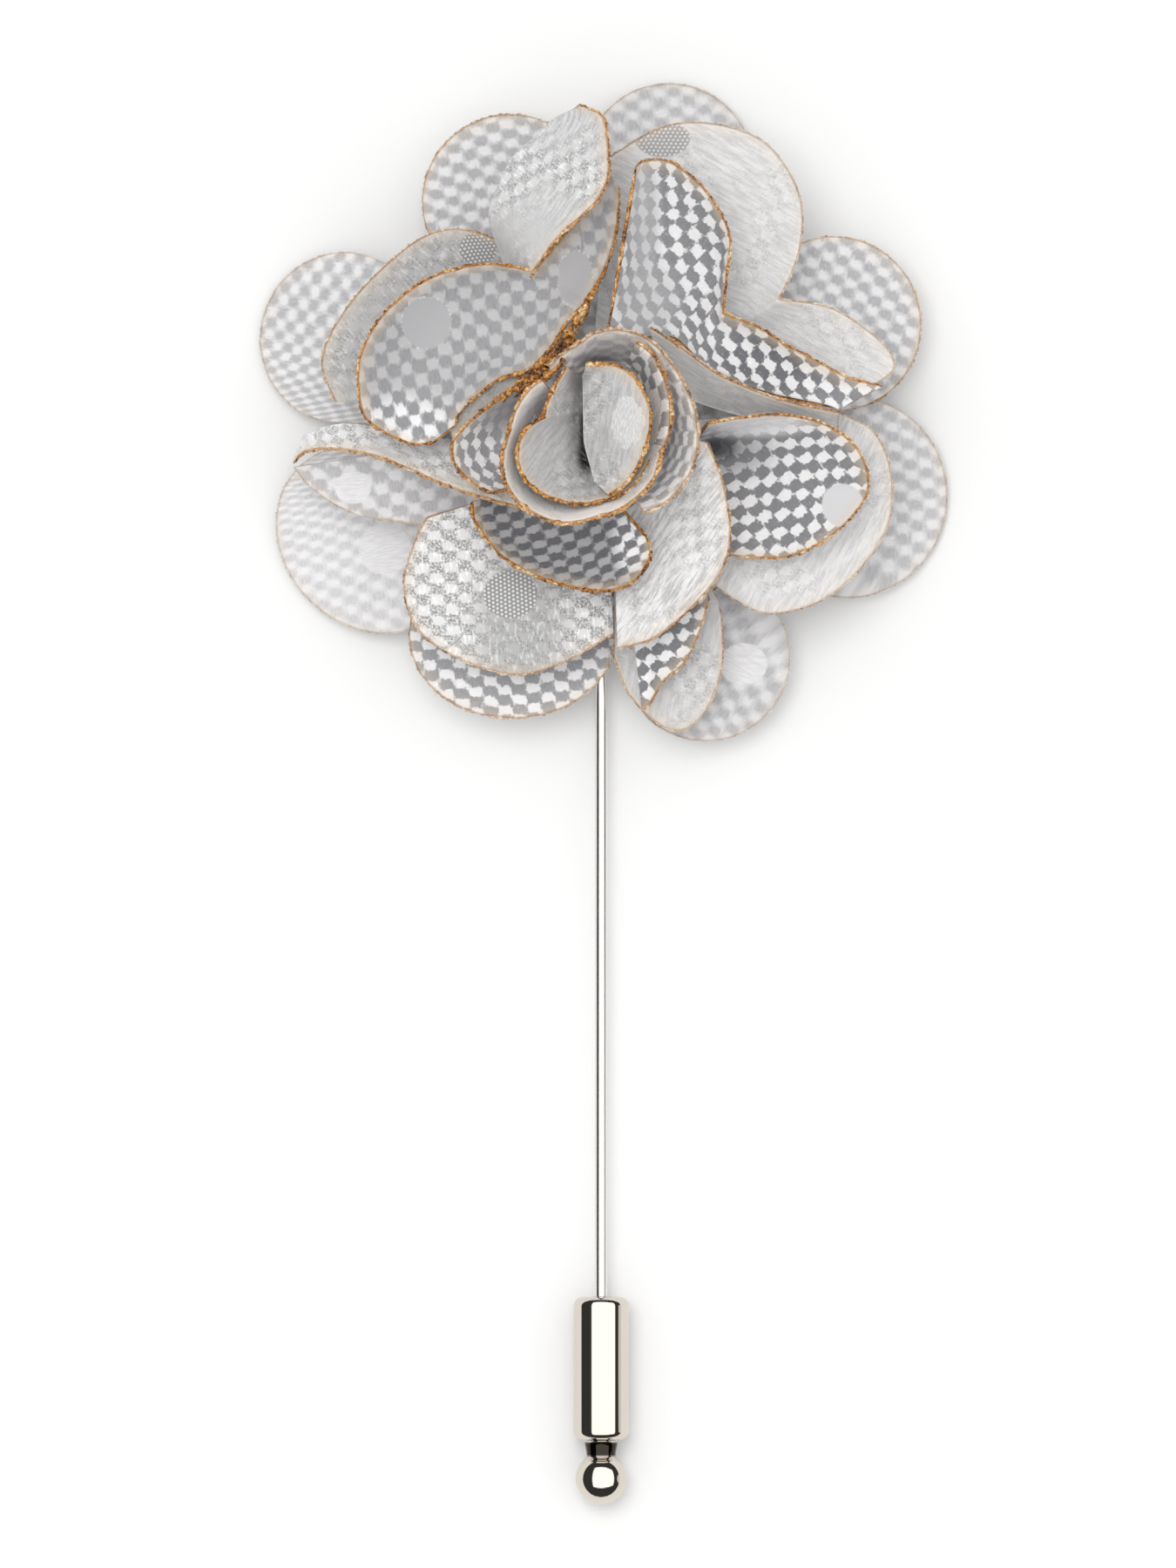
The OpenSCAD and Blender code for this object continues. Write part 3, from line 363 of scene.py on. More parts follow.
# Where the weave of a piece changes, or where shade is painted in (painted shade) or lifted out (painted
# light),
# each change laid over the ones before it: middle as shares of the flower's radius, half width and half
# height in mm, and the tones of ground and cells there
PATCHES = {
    "upper_left_front_petal": [(-0.56, -0.02, 4.4, 2.1, 0.28, 0.84)],
    "upper_right_front_petal": [
        (0.12, 0.34, 2.6, 2.6, 0.34, 0.58),
        (0.115, 0.58, 1.2, 4.6, 0.40, 0.62),
        (0.50, 0.17, 4.5, 2.4, 0.15, 0.80),
    ],
    # painted shade: the first and the third of these darken the hollow by the root; the second is a paler,
    # smoother weave
    "right_front_petal": [
        (0.36, -0.08, 3.2, 2.0, 0.20, 0.46),
        (0.44, 0.0, 3.6, 0.9, 0.66, 0.76),
        (0.33, -0.075, 1.5, 0.8, 0.06, 0.10),
    ],
    "bottom_back_petal": [(-0.23, -0.60, 3.3, 5.0, 0.45, 0.50)],
    "bottom_front_petal": [(0.10, -0.34, 1.5, 2.4, 0.20, 0.95)],
    "left_pocket_petal": [(-0.27, 0.05, 2.4, 2.4, 0.36, 0.48)],
    "upper_left_lobe": [(-0.23, 0.52, 2.6, 2.8, 0.55, 0.60)],
    # painted shade: these four darken the left leaf along the slit and at its top, where the right leaf
    # shades it
    "bud_left_leaf": [
        (-0.05, -0.04, 1.1, 2.9, 0.20, 0.30),
        (-0.05, -0.04, 0.38, 1.9, 0.02, 0.02),
        (-0.04, -0.105, 0.72, 1.0, 0.01, 0.01),
        (-0.06, 0.13, 1.0, 1.5, 0.20, 0.28),
    ],
    # partly a whiter flecked weave and partly painted light: these two lift the shade on the collar's steep
    # inner wall at its bottom and left
    "bud_middle_wrap": [
        (-0.02, -0.29, 3.6, 1.5, 0.84, 0.97),
        (-0.20, 0.03, 1.4, 2.0, 0.84, 0.97),
    ],
    # painted shade: these two darken the collar's inner wall at the top and the strip just above the right
    # leaf's rim
    "bud_outer_wrap": [
        (0.0, 0.225, 3.4, 1.5, 0.44, 0.64),
        (-0.01, 0.175, 1.6, 0.5, 0.16, 0.24),
    ],
}

# Woven dots: middle as shares of the flower's radius, half width and half height in mm, and kind
# (0 plain, 1 white satin, 2 mesh)
DOTS = {
    "upper_left_front_petal": [(-0.50, 0.2825, 1.8, 1.9, 0), (-0.0725, 0.405, 1.3, 2.1, 0)],
    "upper_left_back_petal": [(-0.3525, 0.495, 1.4, 1.2, 2)],
    "upper_right_back_petal": [(0.175, 0.81, 2.0, 1.3, 2)],
    "right_front_petal": [(0.6925, -0.24, 1.5, 1.6, 0)],
    "bottom_back_petal": [(-0.26, -0.495, 1.95, 1.75, 2)],
    "bud_right_leaf": [(0.078, 0.0, 1.25, 2.0, 1)],
    "left_back_petal": [(-0.71, -0.19, 1.3, 1.2, 1)],
    "rear_disc": [(-0.6175, -0.365, 1.85, 1.85, 1), (0.4075, -0.695, 1.75, 1.5, 1)],
}

# Where melted threads of several edges run together beside the bud: how thick and how pale, then x and y as
# shares of the flower's radius and height in mm
BURNT_STRANDS = [
    (2.5, -1.0, [
        (-0.2425, 0.082, 16.9), (-0.21, 0.108, 17.3), (-0.175, 0.138, 17.6), (-0.1325, 0.178, 17.8),
        (-0.10, 0.212, 17.7), (-0.0775, 0.245, 17.2),
    ]),
    (1.7, -0.4, [
        (-0.29, 0.062, 16.4), (-0.235, 0.105, 16.9), (-0.18, 0.158, 17.2), (-0.125, 0.205, 17.3),
        (-0.085, 0.262, 16.8), (-0.045, 0.3275, 16.5), (-0.005, 0.405, 15.6),
    ]),
    (1.5, -0.6, [
        (-0.21, 0.09, 17.6), (-0.165, 0.118, 18.1), (-0.12, 0.158, 18.3), (-0.088, 0.198, 18.2),
        (-0.06, 0.232, 18.2),
    ]),
]

# One folded disc of cloth for each of these groups, as the real flower is made
FOLDED = {
    "upper_right_cloth": ["upper_right_back_petal", "upper_right_front_petal", "upper_right_near_petal"],
    "right_cloth": ["right_back_petal", "right_front_petal"],
    "lower_right_cloth": ["lower_right_back_petal", "lower_right_front_petal", "lower_right_flap"],
    "bottom_cloth": ["bottom_back_petal", "bottom_front_petal"],
    "left_cloth": ["left_back_petal", "left_front_petal", "left_pocket_petal", "tucked_fold"],
    "upper_left_cloth": ["upper_left_back_petal", "upper_left_front_petal", "upper_left_lobe"],
}
# How many rows of a collar, from its start, show the front of the cloth
FRONT_ROWS = {"bud_middle_wrap": 66}
# Petals with a melted bead along the root as well, or along some of their two ends
SINGED_ROOTS = {"upper_left_front_petal"}
SINGED_ENDS = {"upper_right_front_petal": (0,)}
# How pale the singed edge of each disc is
DISC_PALE = {"rear_disc": 0.9, "second_disc": 0.55}

# Indices of a cloth's materials
FRONT, REVERSE, SINGED, LOOSE = 0, 1, 2, 3
# The distance to a rim or a dot, in mm, where there is none near
FAR_OFF = 9.0

# Turned metal, all in mm. A profile ends on its axis with the radius AXIS_R.
AXIS_R = 0.001
NEEDLE_R = 0.45
POINT_L = 8.0
POINT_R = 0.075
TANG_R = 0.65
TANG_L = 17.25
TANG_SOLDER = 0.4
PAD_R = 6.0
PAD_H = 0.8
PAD_EDGE = 0.15
BARREL_R = 2.0
BARREL_L = 10.3
SHOULDER = 0.65
BORE_R = 0.57
BORE_L = 9.0
BORE_LIP_R = 0.66
BORE_LIP_L = 0.12
# The cap's neck: distance from the barrel and radius
NECK = [(0.02, 1.3), (0.12, 1.22), (0.4, 1.15), (0.8, 1.07), (1.15, 1.04)]
NECK_L = 0.9
BALL_R = 1.85


def along(rows, s):
    """A smooth curve through the rows of a table at the places s, counted in rows: a cubic Hermite curve
    whose tangent at a row is half the step between its neighbours, times the row's last column."""
    last = len(rows) - 1
    step = np.minimum(np.floor(s).astype(int), last - 1)
    t = (s - step)[:, None]
    ends = np.pad(rows, ((1, 1), (0, 0)), mode="edge")
    tangents = rows[:, -1:] * (ends[2:] - ends[:-2]) / 2
    return (
        (2 * t**3 - 3 * t**2 + 1) * rows[step]
        + (t**3 - 2 * t**2 + t) * tangents[step]
        + (3 * t**2 - 2 * t**3) * rows[step + 1]
        + (t**3 - t**2) * tangents[step + 1]
    )


def petal_surface(rows, s, v, ruffle=0.0):
    """A petal in mm at the rows s and the shares v from root to rim: the straight line from the root to the
    rim, less sag * 4v(1 - v), plus a ruffle that grows with v cubed."""
    row = along(rows, s)[:, None, :]
    v = np.broadcast_to(v, (len(s), v.shape[-1]))
    across = row[..., 0:3] + (row[..., 3:6] - row[..., 0:3]) * v[..., None]
    wave = np.sin(s * 2.3 + rows[0, 0] * 40) + 0.6 * np.sin(s * 4.1 + 1.7)
    height = FLOWER_H * (across[..., 2] - row[..., 6] * 4 * v * (1 - v)) + ruffle * v**3 * wave[:, None]
    return np.stack([FLOWER_R * across[..., 0], FLOWER_R * across[..., 1], height], axis=-1)


def angles_from(azimuth, places):
    """The angle in degrees, from -180 to 180, from each place to each azimuth."""
    return (azimuth[:, None] - places + 540) % 360 - 180


def disc_surface(middle, lobes, azimuth, share):
    """A scalloped disc in mm: along each azimuth it reaches the farthest lobe, an ellipse that the ray leaves
    at the larger root of a quadratic, or else the waist. It droops with the square of the distance towards
    the lobes' tips, and less over the needle."""
    waist, needle_azimuth, needle_weight = 0.58, -90.0, 3
    lobes = np.array(lobes)
    turn = np.radians(azimuth)[:, None]
    own = np.radians(lobes[:, 4])
    from_own = np.radians(lobes[:, 0]) - own
    cx, cy = lobes[:, 1] * np.cos(from_own), lobes[:, 1] * np.sin(from_own)
    ux, uy = np.cos(turn - own) / lobes[:, 2], np.sin(turn - own) / lobes[:, 3]
    a = ux**2 + uy**2
    b = ux * cx / lobes[:, 2] + uy * cy / lobes[:, 3]
    c = (cx / lobes[:, 2]) ** 2 + (cy / lobes[:, 3]) ** 2 - 1
    root = b**2 - a * c
    reach = np.where((root < 0) | (b < 0), 0, (b + np.sqrt(np.maximum(root, 0))) / a).max(axis=1)
    reach = np.maximum(reach, waist)

    def near(places):
        return 1 / (angles_from(azimuth, places) ** 2 + 60)

    weights, needle = near(lobes[:, 0]), needle_weight * near(np.array([needle_azimuth]))[:, 0]
    tip = (weights @ lobes[:, 5] + needle * middle) / (weights.sum(axis=1) + needle)
    radius = reach[:, None] * share
    height = middle - (middle - tip)[:, None] * radius**2
    x, y = FLOWER_R * radius * np.cos(turn), FLOWER_R * radius * np.sin(turn)
    return np.stack([x, y, FLOWER_H * height], axis=-1)


def wrap_surface(top, lean, depth, table, s, v):
    """A collar of the bud in mm: it follows its table of azimuth and reach, leans out towards its rim with
    the power 0.75 of the height, and rises and falls in two waves that grow with the height squared."""
    row = along(np.array([(a, r, 1.0) for a, r in table]), s)
    turn = np.radians(row[:, 0])[:, None]
    reach = FLOWER_R * row[:, 1][:, None] - 0.25 - lean * (1 - v[None, :]) ** 0.75
    wave = 0.16 * np.sin(s * 1.9)[:, None] + 0.1 * np.sin(s * 4.7 + 1)[:, None]
    x = FLOWER_R * BUD[0] + reach * np.cos(turn)
    y = FLOWER_R * BUD[1] + reach * np.sin(turn)
    z = top - depth * (1 - v[None, :]) + wave * v[None, :] ** 2
    return np.stack([x, y, np.broadcast_to(z, x.shape)], axis=-1)


def length(vectors):
    """The length of each vector."""
    return np.linalg.norm(vectors, axis=-1)


def unit(vectors):
    """Each vector divided by its own length."""
    return vectors / np.maximum(length(vectors), 1e-9)[..., None]


def grid_normals(points):
    """The normal at each point of a grid: the cross product of its two gradients, made a unit long."""
    return unit(np.cross(np.gradient(points, axis=0), np.gradient(points, axis=1)))


def laid_flat(points, turn, rounds=260):
    """Weave coordinates in mm: the surface seen from above is relaxed until each edge of its grid, diagonals
    too, is as long as it is on the surface, and is then turned to the direction of the cloth's weft."""
    flat = points[..., :2].copy()
    steps = [(1, 0), (0, 1), (1, 1), (1, -1), (2, 0), (0, 2)]
    pairs = []
    for di, dj in steps:
        n, m = flat.shape[0] - di, flat.shape[1] - abs(dj)
        a = np.s_[0:n, max(0, -dj):max(0, -dj) + m]
        b = np.s_[di:di + n, max(0, dj):max(0, dj) + m]
        pairs.append((a, b, length(points[b] - points[a])))
    for _ in range(rounds):
        for a, b, rest in pairs:
            gap = flat[b] - flat[a]
            now = np.maximum(length(gap), 1e-6)
            move = gap * ((now - rest) / now * 0.24)[..., None]
            flat[a] += move
            flat[b] -= move
    c, s = np.cos(np.radians(-turn)), np.sin(np.radians(-turn))
    return flat @ np.array([[c, s], [-s, c]])


def finer(coarse, s, v):
    """A coarse grid's values at the shares s and v of its two sides, by linear steps."""
    i = np.clip(s * (coarse.shape[0] - 1), 0, coarse.shape[0] - 1.0001)
    j = np.clip(v * (coarse.shape[1] - 1), 0, coarse.shape[1] - 1.0001)
    i0, j0 = i.astype(int), j.astype(int)
    fi, fj = (i - i0)[:, None, None], (j - j0)[None, :, None]
    low = coarse[i0][:, j0] * (1 - fj) + coarse[i0][:, j0 + 1] * fj
    high = coarse[i0 + 1][:, j0] * (1 - fj) + coarse[i0 + 1][:, j0 + 1] * fj
    return low * (1 - fi) + high * fi


def from_middle(points, x, y, wide, high):
    """How far each point lies from the middle of an ellipse seen from above, 1 on the ellipse itself."""
    return length((points[..., :2] - np.array([x, y]) * FLOWER_R) / np.array([wide, high]))


def dot_distance(points, dots):
    """The distance in mm from each point to the nearest dot, negative inside it, and that dot's kind."""
    nearest, kind = np.full(points.shape[:2], FAR_OFF), np.zeros(points.shape[:2])
    for x, y, wide, high, sort in dots:
        distance = (from_middle(points, x, y, wide, high) - 1) * min(wide, high)
        kind = np.where(distance < nearest, sort, kind)
        nearest = np.minimum(nearest, distance)
    return nearest, kind


def weave_tones_and_painted_shading(points, look, patches):
    """Ground, cells, blur and streaks at each point. A patch lays its own tones over them, a change of weave
    or painted shade and painted light, with a smooth step from none at one and a half times its size to all
    at half of it."""
    blank = np.zeros(points.shape[:2])
    tones = np.broadcast_arrays(look.ground, look.cells, look.blur, look.streaks, blank)
    ground, cells, blur, streaks = tones[:4]
    for x, y, wide, high, patch_ground, patch_cells in patches:
        near = np.clip(1.5 - from_middle(points, x, y, wide, high), 0, 1)
        amount = near**2 * (3 - 2 * near)
        ground = ground + (patch_ground - ground) * amount
        cells = cells + (patch_cells - cells) * amount
    return np.stack([ground, cells, blur, streaks], axis=-1)


def rim_distance(points, root_bead):
    """The distance in mm from each point along its column to the rim, or to the root where that is nearer
    and has a bead too."""
    steps, none = length(np.diff(points, axis=1)), np.zeros((len(points), 1))
    rim = np.concatenate([np.cumsum(steps[:, ::-1], axis=1)[:, ::-1], none], axis=1)
    if root_bead:
        rim = np.minimum(rim, np.concatenate([none, np.cumsum(steps, axis=1)], axis=1))
    return rim


def wall_faces(n, m, ring, turned, front_up):
    """The quads of a closed wall between a grid of n by m points and the same grid below it, and the material
    of each: the upper side, the lower side and the cut edges."""
    at = np.arange(n * m).reshape(n, m)
    if ring:
        at = np.concatenate([at, at[:1]])
    quads = np.stack([at[:-1, :-1], at[1:, :-1], at[1:, 1:], at[:-1, 1:]], axis=-1).reshape(-1, 4)
    cuts = [(at[:-1, -1], at[1:, -1]), (at[1:, 0], at[:-1, 0])]
    if not ring:
        cuts += [(at[0, :-1], at[0, 1:]), (at[-1, 1:], at[-1, :-1])]
    edges = np.concatenate([np.stack([a, b, b + n * m, a + n * m], axis=-1) for a, b in cuts])
    if turned:
        quads, edges = quads[:, ::-1], edges[:, ::-1]
    upper, lower = (FRONT, REVERSE) if front_up else (REVERSE, FRONT)
    finish = np.repeat([upper, lower, SINGED], [len(quads), len(quads), len(edges)])
    return np.concatenate([quads, quads[:, ::-1] + n * m, edges[:, ::-1]]), finish


class Cloth:
    """Gathers sheets, singed beads and loose fibres into one mesh, with the values that materials read."""

    def __init__(self, name, thickness, bead, seed):
        self.name, self.thickness, self.bead = name, thickness, bead
        self.random = np.random.default_rng(seed)
        self.points, self.uvs, self.marks, self.looks = [], [], [], []
        self.faces, self.finishes, self.threads = [], [], []
        self.count, self.area = 0, 0.0

    def add(
        self, points, faces, finish, uv=None, rim=FAR_OFF, dot=FAR_OFF, kind=0.0, pale=0.0,
        look=(0.5, 0.8, 0.2, 0.5),
    ):
        """Adds points with faces, the material of each face and the values at each point."""
        points = points.reshape(-1, 3)
        n = len(points)
        self.points.append(points)
        self.uvs.append(np.zeros((n, 2)) if uv is None else uv.reshape(-1, 2))
        marks = [np.broadcast_to(np.asarray(mark, float).reshape(-1), n) for mark in (rim, dot, kind, pale)]
        self.marks.append(np.stack(marks, axis=1))
        self.looks.append(np.broadcast_to(np.asarray(look, float).reshape(-1, 4), (n, 4)))
        self.faces.append(faces + self.count)
        self.finishes.append(np.broadcast_to(finish, len(faces)))
        self.count += n

    def sheet(self, points, uv, look, dots=(), patches=(), root_bead=False, ends_bead=(), ring=False):
        """A closed wall of even thickness round a grid of points, its rim thinned off. uv is in mm."""
        thinnest, thinned_over = 0.35, 0.3
        n, m = points.shape[:2]
        if ring:
            normals = grid_normals(np.concatenate([points[-1:], points, points[:1]]))[1:-1]
        else:
            normals = grid_normals(points)
        turned = np.median(normals[..., 2]) < 0
        if turned:
            normals = -normals
        rim = rim_distance(points, root_bead)
        half = self.thickness / 2 * np.clip(thinnest + rim / thinned_over, thinnest, 1)[..., None]
        both = np.concatenate([points + normals * half, points - normals * half])
        settings = bpy.context.scene.lapel_cloth
        uv = uv / np.array([settings.cell_long * look.along, settings.cell_short * look.across])
        marks = [np.tile(mark.ravel(), 2) for mark in (rim, *dot_distance(points, dots))]
        tones = np.tile(weave_tones_and_painted_shading(points, look, patches).reshape(-1, 4), (2, 1))
        faces, finish = wall_faces(n, m, ring, turned, look.front_up)
        self.add(both, faces, finish, np.tile(uv.reshape(-1, 2), (2, 1)), *marks, look.pale, tones)
        self.area += float(0.5 * length(np.cross(
            points[1:, 1:] - points[:-1, :-1], points[1:, :-1] - points[:-1, 1:]
        )).sum())
        rims = [points[:, -1]] + ([points[:, 0]] if root_bead else [])
        rims += [points[end] for end in ends_bead]
        swell = 1 - 0.42 * look.pale
        for edge in rims:
            self.singe(edge, ring, swell, look.pale)

    def singe(self, edge, ring=False, swell=1.0, pale=0.0):
        """A lumpy bead of melted thread along an edge: a circle carried along it, its radius stirred by
        smoothed random steps, thicker towards the bud, with loose fibres standing out of it."""
        spacing, sides, fibres_per_mm = 0.14, 7, 2.2
        path = np.concatenate([edge, edge[:1]]) if ring else edge
        reach = np.concatenate([[0], np.cumsum(length(np.diff(path, axis=0)))])
        n = max(int(reach[-1] / spacing), 6)
        places = np.linspace(0, reach[-1], n)
        path = np.stack([np.interp(places, reach, path[:, k]) for k in range(3)], axis=-1)
        ahead = unit(np.gradient(path, axis=0))
        side = unit(np.cross(ahead, [0.0, 0.02, 1.0]))
        up = np.cross(side, ahead)
        turn = np.arange(sides) / sides * 2 * np.pi
        lump = np.convolve(self.random.normal(size=n + 8), np.ones(4) / 4, mode="same")[4:-4]
        rolled = np.exp(-(length(path[:, :2] - BUD * FLOWER_R) / 11) ** 2)
        radius = self.bead * swell * (1 + 0.8 * rolled) * np.clip(1 + 0.55 * lump, 0.45, 2.0)
        rough = radius[:, None] * (1 + 0.15 * self.random.normal(size=(n, sides)))
        rough[[0, -1]] *= 0.15
        wander = 0.035 * swell * self.random.normal(size=(n, 3))
        ring_points = (path + wander)[:, None] + rough[..., None] * (
            side[:, None] * np.cos(turn)[None, :, None] + up[:, None] * np.sin(turn)[None, :, None]
        )
        ring_points = np.concatenate([ring_points.reshape(-1, 3), path[[0, -1]]])
        at = np.arange(n * sides).reshape(n, sides)
        near, far = at[:-1], at[1:]
        faces = np.stack(
            [near, np.roll(near, -1, 1), np.roll(far, -1, 1), far], axis=-1
        ).reshape(-1, 4)
        ends = ([np.roll(at[0], -1), at[0]], [at[-1], np.roll(at[-1], -1)])
        tips = [
            np.stack([np.full(sides, n * sides + k), *pair, pair[-1]], axis=-1) for k, pair in enumerate(ends)
        ]
        ring_points[:, 2] = np.maximum(ring_points[:, 2], 0.0)
        self.add(ring_points, np.concatenate([faces, *tips]), SINGED, rim=0.0, pale=pale)
        count = int(reach[-1] * fibres_per_mm)
        self.fibres(path[self.random.integers(1, n - 1, count)], 0.25, 0.9)

    def fibres(self, start, shortest, longest):
        """Loose threads: flat ribbons of three steps that curl away from where they stand, in mm."""
        half_width = 0.011
        count = len(start)
        head = unit(self.random.normal(size=(count, 3)) + [0, 0, 0.4])
        bend = unit(self.random.normal(size=(count, 3)))
        wide = unit(np.cross(head, bend)) * half_width
        reach = self.random.uniform(shortest, longest, (count, 1))
        reach = reach * self.random.uniform(0.3, 1, (count, 1))
        line = [start + reach * (k * head + 0.5 * k * k * bend) for k in (0.0, 0.35, 0.7, 1.0)]
        points = np.stack([p + w * wide for p, g in zip(line, (1, 0.9, 0.6, 0.15)) for w in (g, -g)], axis=1)
        points[..., 2] = np.maximum(points[..., 2], 0.01)
        self.threads.append(points)

    def make(self, finishes):
        """The mesh and its values at each point. A face that names its last point twice is a triangle."""
        points = np.concatenate(self.points) * MM
        faces = np.concatenate(self.faces)
        mesh = bpy.data.meshes.new(self.name)
        rows = [row[:-1] if row[-1] == row[-2] else row for row in faces.tolist()]
        mesh.from_pydata(points.tolist(), [], rows)
        mesh.update()
        for finish in finishes:
            mesh.materials.append(finish)
        mesh.polygons.foreach_set("material_index", np.concatenate(self.finishes).astype(np.int32))
        mesh.polygons.foreach_set("use_smooth", np.ones(len(faces), bool))
        uv = mesh.uv_layers.new(name="weave")
        corners = np.zeros(len(mesh.loops), np.int32)
        mesh.loops.foreach_get("vertex_index", corners)
        uv.data.foreach_set("uv", np.concatenate(self.uvs)[corners].astype(np.float32).ravel())
        marks = np.concatenate(self.marks)
        for column, name in enumerate(("rim", "dot", "dot_kind", "pale")):
            values = mesh.attributes.new(name, "FLOAT", "POINT")
            values.data.foreach_set("value", marks[:, column].astype(np.float32))
        look = mesh.attributes.new("look", "FLOAT_COLOR", "POINT")
        look.data.foreach_set("color", np.concatenate(self.looks).astype(np.float32).ravel())
        return placed(self.name, mesh)

    def make_fibres(self, finish):
        """The loose threads of this cloth, each three quads long."""
        points = np.concatenate(self.threads)
        at = np.arange(len(points))[:, None] * 8
        faces = np.concatenate([at + np.array([k, k + 1, k + 3, k + 2]) for k in (0, 2, 4)])
        mesh = bpy.data.meshes.new(self.name + "_fibres")
        mesh.from_pydata((points.reshape(-1, 3) * MM).tolist(), [], faces.tolist())
        mesh.materials.append(finish)
        return placed(self.name + "_fibres", mesh)


def placed(name, mesh):
    """A new object for the mesh, in the scene."""
    piece = bpy.data.objects.new(name, mesh)
    bpy.context.scene.collection.objects.link(piece)
    return piece


def petal_grid(node, ruffle, rows_fine=10, across=26):
    """A petal's fine grid, its steps closer together towards the rim, and its weave coordinates."""
    rows = np.array(SECTIONS[node], float)
    last = len(rows) - 1
    s = np.linspace(0, last, last * rows_fine + 1)
    v = 1 - (1 - np.linspace(0, 1, across)) ** 1.5
    points = petal_surface(rows, s, v, ruffle)
    coarse_s, coarse_v = np.linspace(0, last, last * 3 + 1), np.linspace(0, 1, 9)
    coarse = laid_flat(petal_surface(rows, coarse_s, coarse_v, ruffle), LOOKS[node].turn)
    return points, finer(coarse, s / last, v)


class Value:
    """A value in a node tree. Python's operators on it add Math nodes, and node() adds any other node."""

    def __init__(self, tree, socket=None):
        self.tree, self.socket = tree, socket

    def node(self, kind, settings=(), inputs=(), output=0):
        """One output of a new node. stops are the places and colours of a colour ramp."""
        made = self.tree.nodes.new(kind)
        for name, setting in dict(settings).items():
            if name == "stops":
                ramp = made.color_ramp.elements
                while len(ramp) < len(setting):
                    ramp.new(0.5)
                for element, (place, color) in zip(ramp, setting):
                    element.position, element.color = place, (*color, 1)
            else:
                setattr(made, name, setting)
        for name, value in dict(inputs).items():
            if isinstance(value, Value):
                self.tree.links.new(value.socket, made.inputs[name])
            else:
                made.inputs[name].default_value = value
        return Value(self.tree, made.outputs[output])

    def math(self, operation, *others, clamp=False):
        return self.node(
            "ShaderNodeMath", {"operation": operation, "use_clamp": clamp}, enumerate((self, *others))
        )

    def __add__(self, other):
        return self.math("ADD", other)

    def __mul__(self, other):
        return self.math("MULTIPLY", other)

    def __sub__(self, other):
        return self.math("SUBTRACT", other)

    def __truediv__(self, other):
        return self.math("DIVIDE", other)

    def __pow__(self, other):
        return self.math("POWER", other)

    def __rsub__(self, other):
        return self.node("ShaderNodeMath", {"operation": "SUBTRACT"}, {0: other, 1: self})

    __radd__, __rmul__ = __add__, __mul__

    def step(self, low, high):
        """0 below low, 1 above high, and smooth between."""
        return self.node(
            "ShaderNodeMapRange", {"interpolation_type": "SMOOTHSTEP"}, {0: self, 1: low, 2: high}
        )

    def blend(self, low, high):
        """low where this value is 0 and high where it is 1, for colours."""
        return self.node("ShaderNodeMix", {"data_type": "RGBA"}, {0: self, 6: low, 7: high}, output=2)

    def lerp(self, low, high):
        return low + (high - low) * self

    def parts(self):
        return [self.node("ShaderNodeSeparateXYZ", (), {0: self}, k) for k in range(3)]

    def vector(self, x, y, z=0.0):
        return self.node("ShaderNodeCombineXYZ", (), {0: x, 1: y, 2: z})

    def noise(self, scale, detail=2.0, roughness=0.55, distortion=0.0):
        return self.node("ShaderNodeTexNoise", (), {
            "Vector": self, "Scale": scale, "Detail": detail,
            "Roughness": roughness, "Distortion": distortion,
        })

    def attribute(self, name, output):
        return self.node("ShaderNodeAttribute", {"attribute_name": name}, (), output)


def begin(name):
    """A material with an empty tree of its own, so that its values can be worked out first."""
    finish = bpy.data.materials.new(name)
    finish.use_nodes = True
    return finish, Value(finish.node_tree)


def finished(finish, **sockets):
    """Links or sets the named sockets of the material's shader, with _ for a space."""
    shader = finish.node_tree.nodes["Principled BSDF"]
    for key, value in sockets.items():
        socket = shader.inputs[key.replace("_", " ")]
        if isinstance(value, Value):
            finish.node_tree.links.new(value.socket, socket)
        else:
            socket.default_value = value
    return finish


def woven_checks(u, v, slant, level, soft):
    """The weave's checks, with u and v counted in cells: the waves cos(u + v) and cos(u - v) add up to a
    checkerboard. The slant gives one wave more weight, and the sum is cut off softly at a level."""
    u, v = u * np.pi, v * np.pi
    waves = (u + v).math("COSINE") * (slant + 0.5) + (u - v).math("COSINE") * (0.5 - slant)
    return ((waves - level) / (soft * 2) + 0.5).math("MAXIMUM", 0.0).math("MINIMUM", 1.0)


def singed(value, color, rim, pale, place):
    """The cloth's colour with its scorched edge: an ochre band whose width a noise stirs."""
    stir = place.noise(2.6, 3.0)
    near = 1 - (rim / (stir * 0.26 + 0.03)).step(0.5, 1.0)
    warm = 1 - (rim / (stir * 1.9 + 0.3)).step(0.0, 1.0)
    tinted = (warm * (0.42 - pale * 0.28)).blend(color, (0.72, 0.56, 0.38, 1))
    return (near * (0.75 - pale * 0.6)).blend(tinted, (0.42, 0.21, 0.07, 1))


def read_cloth(start, settings):
    """What the mesh says of the cloth at a point: cells across and along, place in mm, and its looks."""
    u, v, _ = start.node("ShaderNodeUVMap", {"uv_map": "weave"}).parts()
    x, y = u * settings.cell_long, v * settings.cell_short
    look, streaks = start.attribute("look", "Color"), start.attribute("look", "Alpha")
    tones = [look.node("ShaderNodeSeparateColor", (), {0: look}, k) for k in range(3)]
    marks = [start.attribute(name, "Fac") for name in ("rim", "dot", "dot_kind", "pale")]
    return u, v, x, y, start.vector(x, y), tones, streaks, marks


